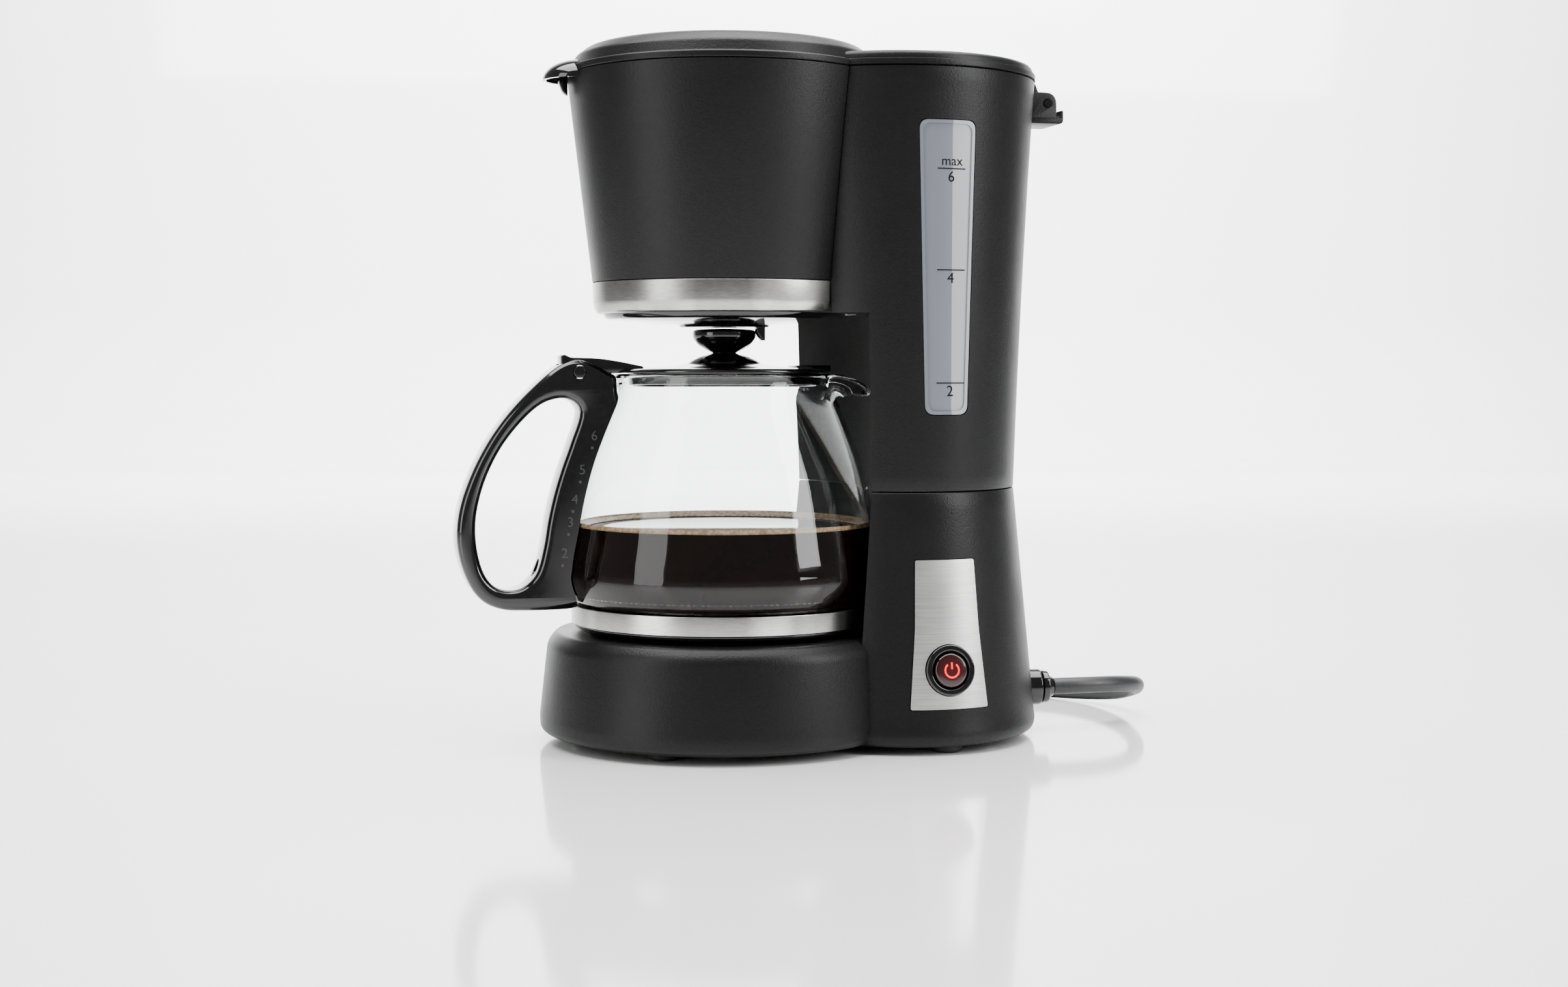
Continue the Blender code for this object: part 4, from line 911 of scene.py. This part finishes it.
def switch():
    outward = -switch_axis()
    bezel = [(9.2, 1.5, 0.6), (9.2, -8.0), (6.8, -8.0), (6.8, 1.0, 0.2), (7.3, 1.5, 0.3)]
    piece(turned("switch_ring", bezel, SWITCH, outward, True, 96), "housing", GLOSS,
          "gloss_black_plastic", "switch_bezel")
    cap = [
        (0, 2.4), (4.0, 2.3, 1.5), (5.8, 2.0, 0.6), (6.3, 1.2, 0.4), (6.3, -5.0), (2.0, -5.0),
        (2.0, -9.4), (0, -9.4),
    ]
    button = turned("button_cap", cap, SWITCH, outward, steps=96)
    piece(button, "button", BUTTON, "lit_button", "power_button")
    symbol_r = 2.6
    gap = math.radians(38)
    arc = []
    for i in range(33):
        angle = math.pi / 2 + gap + (2 * math.pi - 2 * gap) * i / 32
        arc.append((symbol_r * math.cos(angle), symbol_r * math.sin(angle)))
    up = Vector((0.0, -math.sin(SWITCH_TILT), -math.cos(SWITCH_TILT))) * -1
    for name, points in (("symbol_ring", arc), ("symbol_bar", [(0.0, 0.4), (0.0, 1.6), (0.0, 2.9)])):
        route = [on_switch_axis(-2.32) + Vector((x, 0.0, 0.0)) + up * y for x, y in points]
        piece(tube(name, route, 0.72, 3), "button", LAMP, "lit_button")


# Jug

def glass_wall():
    return [(p.x, p.y) for p in smooth_path(WALL, 4)]


def inner_radius(z):
    wall = glass_wall()
    for (r0, z0), (r1, z1) in zip(wall, wall[1:]):
        if z <= z1:
            return r0 + (r1 - r0) * (z - z0) / (z1 - z0) - 2.0
    return wall[-1][0] - 2.0


def pull_spout(mesh):
    """Draws the jug's rim out into a pouring lip on the +X side."""
    half_angle = math.radians(34)
    for vertex in mesh.vertices:
        x, y, z = vertex.co / MM
        rise = min(1.0, max(0.0, (z - SPOUT_FOOT) / SPOUT_RISE))
        side = abs(math.atan2(y, x)) / half_angle
        if side >= 1.0 or rise == 0.0:
            continue
        pull = rise * rise * (3 - 2 * rise) * math.cos(side * math.pi / 2) ** 2
        radius = math.hypot(x, y)
        scale = (radius + SPOUT_REACH * pull) / radius
        vertex.co = Vector((x * scale, y * scale, z - SPOUT_DROP * pull * pull)) * MM


def jug():
    wall = glass_wall()
    rim = [(41.4, 136.2), (42.1, 137.0), (42.3, 137.7), (41.8, 138.3), (40.9, 138.6), (40.0, 138.3),
           (39.4, 137.3), (39.2, 135.8)]
    inside = [(r - 2.0, z + (0.6 if z < 50 else 0.0)) for r, z in reversed(wall) if z > 44.6]
    profile = [(0.0, 41.9), *wall, *rim, *inside, (46.0, 44.0), (0.0, 43.9)]
    profile.reverse()
    mesh = turned_mesh("jug_glass", profile, steps=192)
    pull_spout(mesh)
    mesh.set_sharp_from_angle(angle=math.radians(60))
    piece(new_object("jug_glass", mesh, (BREW_X, 0, 0)), "carafe", GLASS, "clear_glass", "carafe_glass")
    lap = 0.15
    levels = [44.6, 47.0, 50.0, 54.0, 58.0, 61.5, 65.0, 70.0, 75.0, 79.0, 81.2]
    side = [(inner_radius(z) + lap, z) for z in reversed(levels)]
    r = inner_radius(COFFEE_TOP)
    top = [
        (0, COFFEE_TOP - 0.4), (r - 2.6, COFFEE_TOP - 0.4), (r - 0.9, COFFEE_TOP - 0.1),
        (r + lap, COFFEE_TOP + 0.5),
    ]
    liquid = turned("coffee", [*top, *side, (45.0, 44.2), (0, 44.2)])
    piece(liquid, "carafe", COFFEE, None)
    foam = [
        (r + 0.1, COFFEE_TOP + 2.0, 0.2), (r + 0.1, COFFEE_TOP - 0.1), (r - 3.4, COFFEE_TOP - 0.6),
        (r - 3.8, COFFEE_TOP - 0.1, 0.3), (r - 2.4, COFFEE_TOP + 0.6, 0.6), (r - 0.9, COFFEE_TOP + 1.2, 0.6),
    ]
    piece(turned("coffee_foam", foam, ring=True), "carafe", FOAM, None)


def jug_metal():
    band = [(58.35, 51.6, 0.25), (58.35, 44.6, 0.25), (57.6, 44.6), (57.6, 51.6)]
    piece(turned("jug_band", band, ring=True, steps=192), "carafe", BAND_STEEL, "satin_steel", "carafe_band")
    ring = [(57.4, 44.4, 0.2), (57.2, 43.2, 0.8), (55.2, 41.7, 0.8), (51.6, 41.7, 0.3), (52.6, 44.3, 0.2)]
    foot = turned("jug_foot_ring", ring, ring=True)
    piece(foot, "carafe", GLOSS, "gloss_black_plastic", "carafe_base_ring")


def jug_handle():
    outer = [
        (-43.4, 137.4), (-46.4, 139.2), (-51.0, 141.8), (-57.5, 143.8), (-64.0, 142.2), (-71.0, 137.0),
        (-80.9, 127.3), (-88.6, 117.6), (-94.4, 108.0), (-98.8, 98.3), (-101.8, 88.7), (-102.9, 79.0),
        (-101.6, 69.3), (-97.9, 60.0), (-93.0, 54.2), (-86.0, 51.2), (-78.0, 50.6), (-68.0, 50.6),
        (-59.0, 51.2), (-53.0, 54.0), (-50.0, 70.0), (-46.0, 96.0), (-41.0, 122.0), (-42.8, 131.6),
    ]
    hole = [
        (-57.0, 124.4), (-60.4, 112.8), (-63.9, 103.0), (-66.8, 93.4), (-69.0, 83.7), (-70.6, 74.0),
        (-73.2, 64.6), (-77.9, 59.6), (-83.5, 58.3), (-89.0, 60.0), (-93.0, 65.2), (-95.4, 74.0),
        (-95.9, 83.7), (-94.2, 93.4), (-90.8, 103.0), (-85.4, 112.8), (-77.4, 122.4), (-70.0, 128.0),
        (-62.0, 129.2),
    ]
    loops = []
    for loop in (outer, hole):
        path = smooth_path([(BREW_X + x, z, 0.0) for x, z in loop], 5, closed=True)
        loops.append([(p.x, p.y) for p in path])
    grip = slab("jug_handle", loops, 0.0, 18.0, 2.8, 5)
    clear_of_glass = [(r + 0.45, z) for r, z in reversed(glass_wall()) if z > 56.0]
    space = [
        (0, 150.0), (42.6, 150.0), (42.8, 137.6), *clear_of_glass, (58.9, 52.2), (58.9, 40.0), (0, 40.0),
    ]
    cut(grip, turned("jug_space", space))
    x, _, z = JUG_PIN
    cut(grip, block("arm_slot", (x - 7.2, -5.3, 133.6), (x + 20, 5.3, 150.0), 0.6, 2))
    cut(grip, rod("pin_hole", (x, -12, z), (x, 12, z), 2.55))
    deep = (BREW_X - 78.0, 0.0, 66.0)
    seat = (BREW_X - 69.0, 0.0, 66.0)
    cut(grip, rod("screw_head", deep, seat, 3.3), rod("screw_shank", seat, (BREW_X - 58.0, 0.0, 66.0), 1.8))
    piece(grip, "carafe", GLOSS, "gloss_black_plastic", "handle")
    # The digits and dots take the lighter mark finish, which paints in their highlights.
    for level, height in ((2, 71.9), (3, 83.4), (4, 91.9), (5, 102.9), (6, 115.6)):
        x = BREW_X - (inner_radius(height) + 2.0) - 3.4
        digit = text_mesh(f"handle_digit_{level}", str(level), 5.2)
        digit.location = Vector((x, -9.02, height - 1.8)) * MM
        piece(digit, "carafe", PAINTED_HIGHLIGHT_MARK, "gloss_black_plastic")
        low = height - 4.6
        dot = rod(f"handle_dot_{level}", (x - 0.8, -8.9, low), (x - 0.8, -9.25, low), 0.6, 20)
        piece(dot, "carafe", PAINTED_HIGHLIGHT_MARK, "gloss_black_plastic")
    pin = rod("lid_pin_fine", (JUG_PIN[0], -9.2, JUG_PIN[2]), (JUG_PIN[0], 9.2, JUG_PIN[2]), 2.25, 48, 0.3)
    piece(pin, "carafe", GLOSS, "gloss_black_plastic", "carafe_lid_pin")


def jug_lid():
    profile = [
        (2.2, 155.6, 0.3), (5.4, 155.8, 1.0), (11.4, 155.4, 0.8), (12.15, 154.6, 0.5), (12.15, 152.4, 1.4),
        (10.4, 149.8, 2.0), (7.2, 147.9, 1.6), (4.4, 146.5, 0.35), (9.4, 145.3, 2.0), (12.4, 143.9, 1.6),
        (14.8, 142.3, 0.3), (22.0, 141.2, 3.0), (38.8, 140.4, 1.0), (40.2, 139.8, 0.4), (40.2, 138.9, 0.3),
        (36.9, 138.8), (36.6, 134.8, 0.3), (35.2, 134.8, 0.3), (34.9, 138.2), (8.0, 139.2), (2.2, 140.4),
    ]
    cover = turned("jug_lid", profile, ring=True)
    piece(cover, "carafe", GLOSS, "gloss_black_plastic", "carafe_lid")
    outline = [
        (BREW_X - 63.7, 140.0, 1.0), (BREW_X - 63.9, 145.4, 0.6), (BREW_X - 62.6, 145.9, 0.8),
        (BREW_X - 60.2, 144.7, 1.0), (BREW_X - 50.0, 144.5, 4.0), (BREW_X - 42.0, 143.3, 3.0),
        (BREW_X - 32.6, 141.4, 0.2), (BREW_X - 32.0, 140.0), (BREW_X - 40.6, 138.9, 0.5),
        (BREW_X - 46.0, 138.6, 1.5), (BREW_X - 52.0, 136.6, 1.5), (BREW_X - 57.5, 135.2, 2.5),
        (BREW_X - 61.8, 136.8, 2.0),
    ]
    arm = slab("jug_lid_arm", [soften(outline, True)], 0.0, 10.0, 0.6, 3)
    x, _, z = JUG_PIN
    cut(arm, rod("arm_pin", (x, -7, z), (x, 7, z), 2.55))
    piece(arm, "carafe", GLOSS, "gloss_black_plastic")
    tongue = block("jug_lid_tongue", (BREW_X + 27, -7, 139.4), (BREW_X + 40.6, 7, 141.8), 0.5, 3)
    piece(tongue, "carafe", GLOSS, "gloss_black_plastic")


# Hot plate, filter and feet

def warm_parts():
    plate = [
        (0, 41.4), (50.6, 41.4, 1.0), (52.5, 40.5, 0.6), (52.5, 38.9), (49.1, 38.9), (48.6, 37.0),
        (1.8, 37.0), (1.8, 39.6), (0, 39.6),
    ]
    piece(turned("warming_plate", plate), "housing", COATED, "coated_steel", "hot_plate")
    holder = [
        (57.0, 250.6, 0.4), (56.9, 249.2, 0.3), (54.4, 249.0, 0.4), (45.4, 172.0, 6.0), (39.4, 163.4, 3.0),
        (7.0, 160.6), (7.0, 157.6), (5.3, 157.6), (5.3, 161.3), (2.3, 161.3), (2.3, 162.9),
        (38.6, 165.6, 3.0), (43.6, 172.4, 5.0), (53.0, 250.6, 0.4),
    ]
    cone = turned("filter_holder_fine", holder, ring=True)
    piece(cone, "housing", INNER, "inner_plastic", "filter_holder")
    basket = [
        (0, 172.0), (37.4, 173.0, 3.0), (41.2, 179.6, 4.0), (48.6, 249.8), (52.0, 249.8, 0.3),
        (52.0, 248.8, 0.3), (49.6, 248.6), (42.2, 179.2, 4.0), (38.0, 172.0, 3.0), (0, 171.0),
    ]
    piece(turned("filter_basket", basket), "housing", WEAVE, "filter_mesh", "permanent_filter")


def feet():
    spots = [(-33.0, -45.0), (-33.0, 45.0), (71.0, -55.0), (71.0, 55.0)]
    for number, (x, y) in enumerate(spots, 1):
        profile = [(0, 2.7), (5.7, 2.7, 0.2), (5.7, 0.7, 0.7), (4.9, 0, 0.3), (0, 0)]
        foot = turned(f"rubber_foot_{number}", profile, (BREW_X + x, y, 0.0), steps=64)
        piece(foot, "housing", RUBBER, "soft_rubber", f"foot_{number}")


# Mains lead

def gland_axis():
    return Vector((0.995, -0.1, 0.0)).normalized()


def gland_point(distance):
    return Vector((BREW_X + 118.5, -17.0, 16.5)) + gland_axis() * distance


def mains_lead():
    """The gland, the lead with its coil behind the tank, the tie and the plug."""
    profile = [
        (0, 9.0), (3.6, 9.0, 0.2), (4.6, 7.2, 0.6), (6.2, 6.8, 0.5), (6.4, 4.3, 0.5), (5.2, 4.1, 0.2),
        (5.2, 3.8, 0.2), (7.0, 3.7, 0.7), (7.0, -1.6, 0.4), (5.4, -2.2), (4.2, -14.0), (0, -14.0),
    ]
    gland = turned("strain_relief", profile, gland_point(0), gland_axis(), steps=64)
    piece(gland, "housing", GLOSS, "soft_rubber", "cord_gland")
    lead = [
        gland_point(9.3), (BREW_X + 141, -18.2, 16.5), (BREW_X + 156, -14.5, 15.9),
        (BREW_X + 168, -5.0, 14.0), (BREW_X + 174, 9.0, 10.6), (BREW_X + 173, 25.0, 6.6),
        (BREW_X + 167, 41.0, 4.4), (BREW_X + 156, 56.0, 3.5), (BREW_X + 141, 67.5, 3.5),
        (BREW_X + 122, 74.6, 3.8),
        (BREW_X + 110, 76.6, 4.3), (BREW_X + 99.2, 77.5, 4.6), (BREW_X + 87.0, 77.5, 4.5),
    ]
    tail = [
        (BREW_X + 66.0, 80.85, 10.4), (BREW_X + 58.0, 80.95, 10.4), (BREW_X + 52.0, 81.2, 10.0),
        (BREW_X + 46.4, 81.6, 8.8), (BREW_X + 40.0, 82.3, 7.4), (BREW_X + 34.0, 83.9, 6.8),
        (BREW_X + 27.4, 86.45, 6.8), (BREW_X + 21.6, 88.9, 6.9),
    ]
    route = smooth_path([*lead, *coil_points(), *tail], 3)
    curve = bpy.data.curves.new("mains_cord", "CURVE")
    curve.dimensions = "3D"
    curve.bevel_depth = CORD_D / 2 * MM
    curve.bevel_resolution = 8
    curve.use_fill_caps = True
    spline = curve.splines.new("POLY")
    spline.points.add(len(route) - 1)
    for point, spot in zip(spline.points, route):
        point.co = (*(spot * MM), 1.0)
    cord = bpy.data.objects.new("mains_cord", curve)
    bpy.context.scene.collection.objects.link(cord)
    curve.materials.append(CORD_SKIN)
    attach(cord, "housing")
    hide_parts("cord", "cord_coil", "cord_tail")
    plug, pins = plug_pieces()
    tie()


def coil_points():
    """The turns, clockwise from the front: out lane, in lane, then a part turn on top."""
    out_r, in_r, top_r = 38.6, 31.9, 35.2
    floor_z, top_z = 4.5, 10.4
    points = []
    for degrees in range(0, 1081, 20):
        if degrees < 280:
            r, z = out_r, floor_z
        elif degrees <= 360:
            t = (degrees - 280) / 80
            r, z = out_r + (in_r - out_r) * t, floor_z
        elif degrees < 640:
            r, z = in_r, floor_z
        elif degrees <= 720:
            t = (degrees - 640) / 80
            r = in_r + (top_r - in_r) * t * t
            z = floor_z + (top_z - floor_z) * math.sin(t * math.pi / 2)
        else:
            r, z = top_r, top_z
        angle = math.radians(-90 - degrees)
        points.append((COIL[0] + r * math.cos(angle), COIL[1] + r * math.sin(angle), z))
    return points


def tie():
    x, y = COIL
    far = x - 42.9
    near = x - 27.6
    strap = block("lead_tie", (far, y - 4, 0.2), (near, y + 4, 8.9), 0.6, 3)
    cut(strap, block("tie_inside", (far + 0.9, y - 8, 1.1), (near - 0.9, y + 8, 8.0), 0.4, 2))
    return piece(strap, "housing", RUBBER, "soft_rubber", "cord_tie")


def plug_pieces():
    direction = Vector((-0.92, 0.39, 0.0)).normalized()
    side = Vector((0.0, 0.0, 1.0)).cross(direction)
    rear = Vector((BREW_X + 21.1, 89.1, 6.9))
    middle = rear + direction * 34.0
    hull = [
        (0, 26.0), (6.8, 26.0, 0.5), (6.5, 20.0, 1.0), (5.2, 16.0, 1.0), (4.0, 4.0), (3.5, 0.0, 0.3),
        (0, 0.0),
    ]
    body = turned("plug_shell", hull, rear, direction, steps=64)
    head = block("plug_head", (-13.0, -6.8, -16.0), (13.0, 6.8, 16.0), 3.0, 5)
    turn = Matrix((side, direction.cross(side), direction)).transposed().to_4x4()
    head.matrix_world = Matrix.Translation(middle * MM) @ turn
    for offset in (5.0, 9.0, 13.0):
        floor_r = 4.3 + offset * 0.06
        groove = [
            (7.6, offset + 0.7), (7.6, offset - 0.7), (floor_r, offset - 0.5), (floor_r, offset + 0.5),
        ]
        cut(body, turned("groove", groove, rear, direction, True, 64))
    join(body, head)
    piece(body, "housing", RUBBER, "soft_rubber", "plug_body")
    pins = []
    for number, offset in ((1, -9.5), (2, 9.5)):
        start = middle + direction * 16.3 + side * offset
        pin = rod(f"plug_pin_fine_{number}", start, start + direction * 19.0, 2.0, 32, 0.8)
        pins.append(piece(pin, "housing", PLAIN_STEEL, "satin_steel", f"plug_pin_{number}"))
    return body, pins


def carried_over():
    """Procedural materials for the CAD nodes that stay as they are."""
    finishes = {
        "bottom_cover": INNER, "check_valve_body": INNER, "switch_body": INNER, "water_spout": INNER,
        "drip_valve": GLOSS, "hinge_pin": GLOSS, "heater_tube": CAST, "cold_water_hose": SILICONE,
        "hot_water_hose": SILICONE, "riser_tube": SILICONE,
    }
    for name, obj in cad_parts.items():
        if obj.hide_render:
            continue
        finish = finishes.get(name, PLAIN_STEEL)
        obj.data.materials.clear()
        obj.data.materials.append(finish)


camera()
stage()
lights()
mains_lead()
lower_body()
switch_plate()
upper_tank()
gauge()
tower()
lid()
switch()
jug()
jug_metal()
jug_handle()
jug_lid()
warm_parts()
feet()
carried_over()
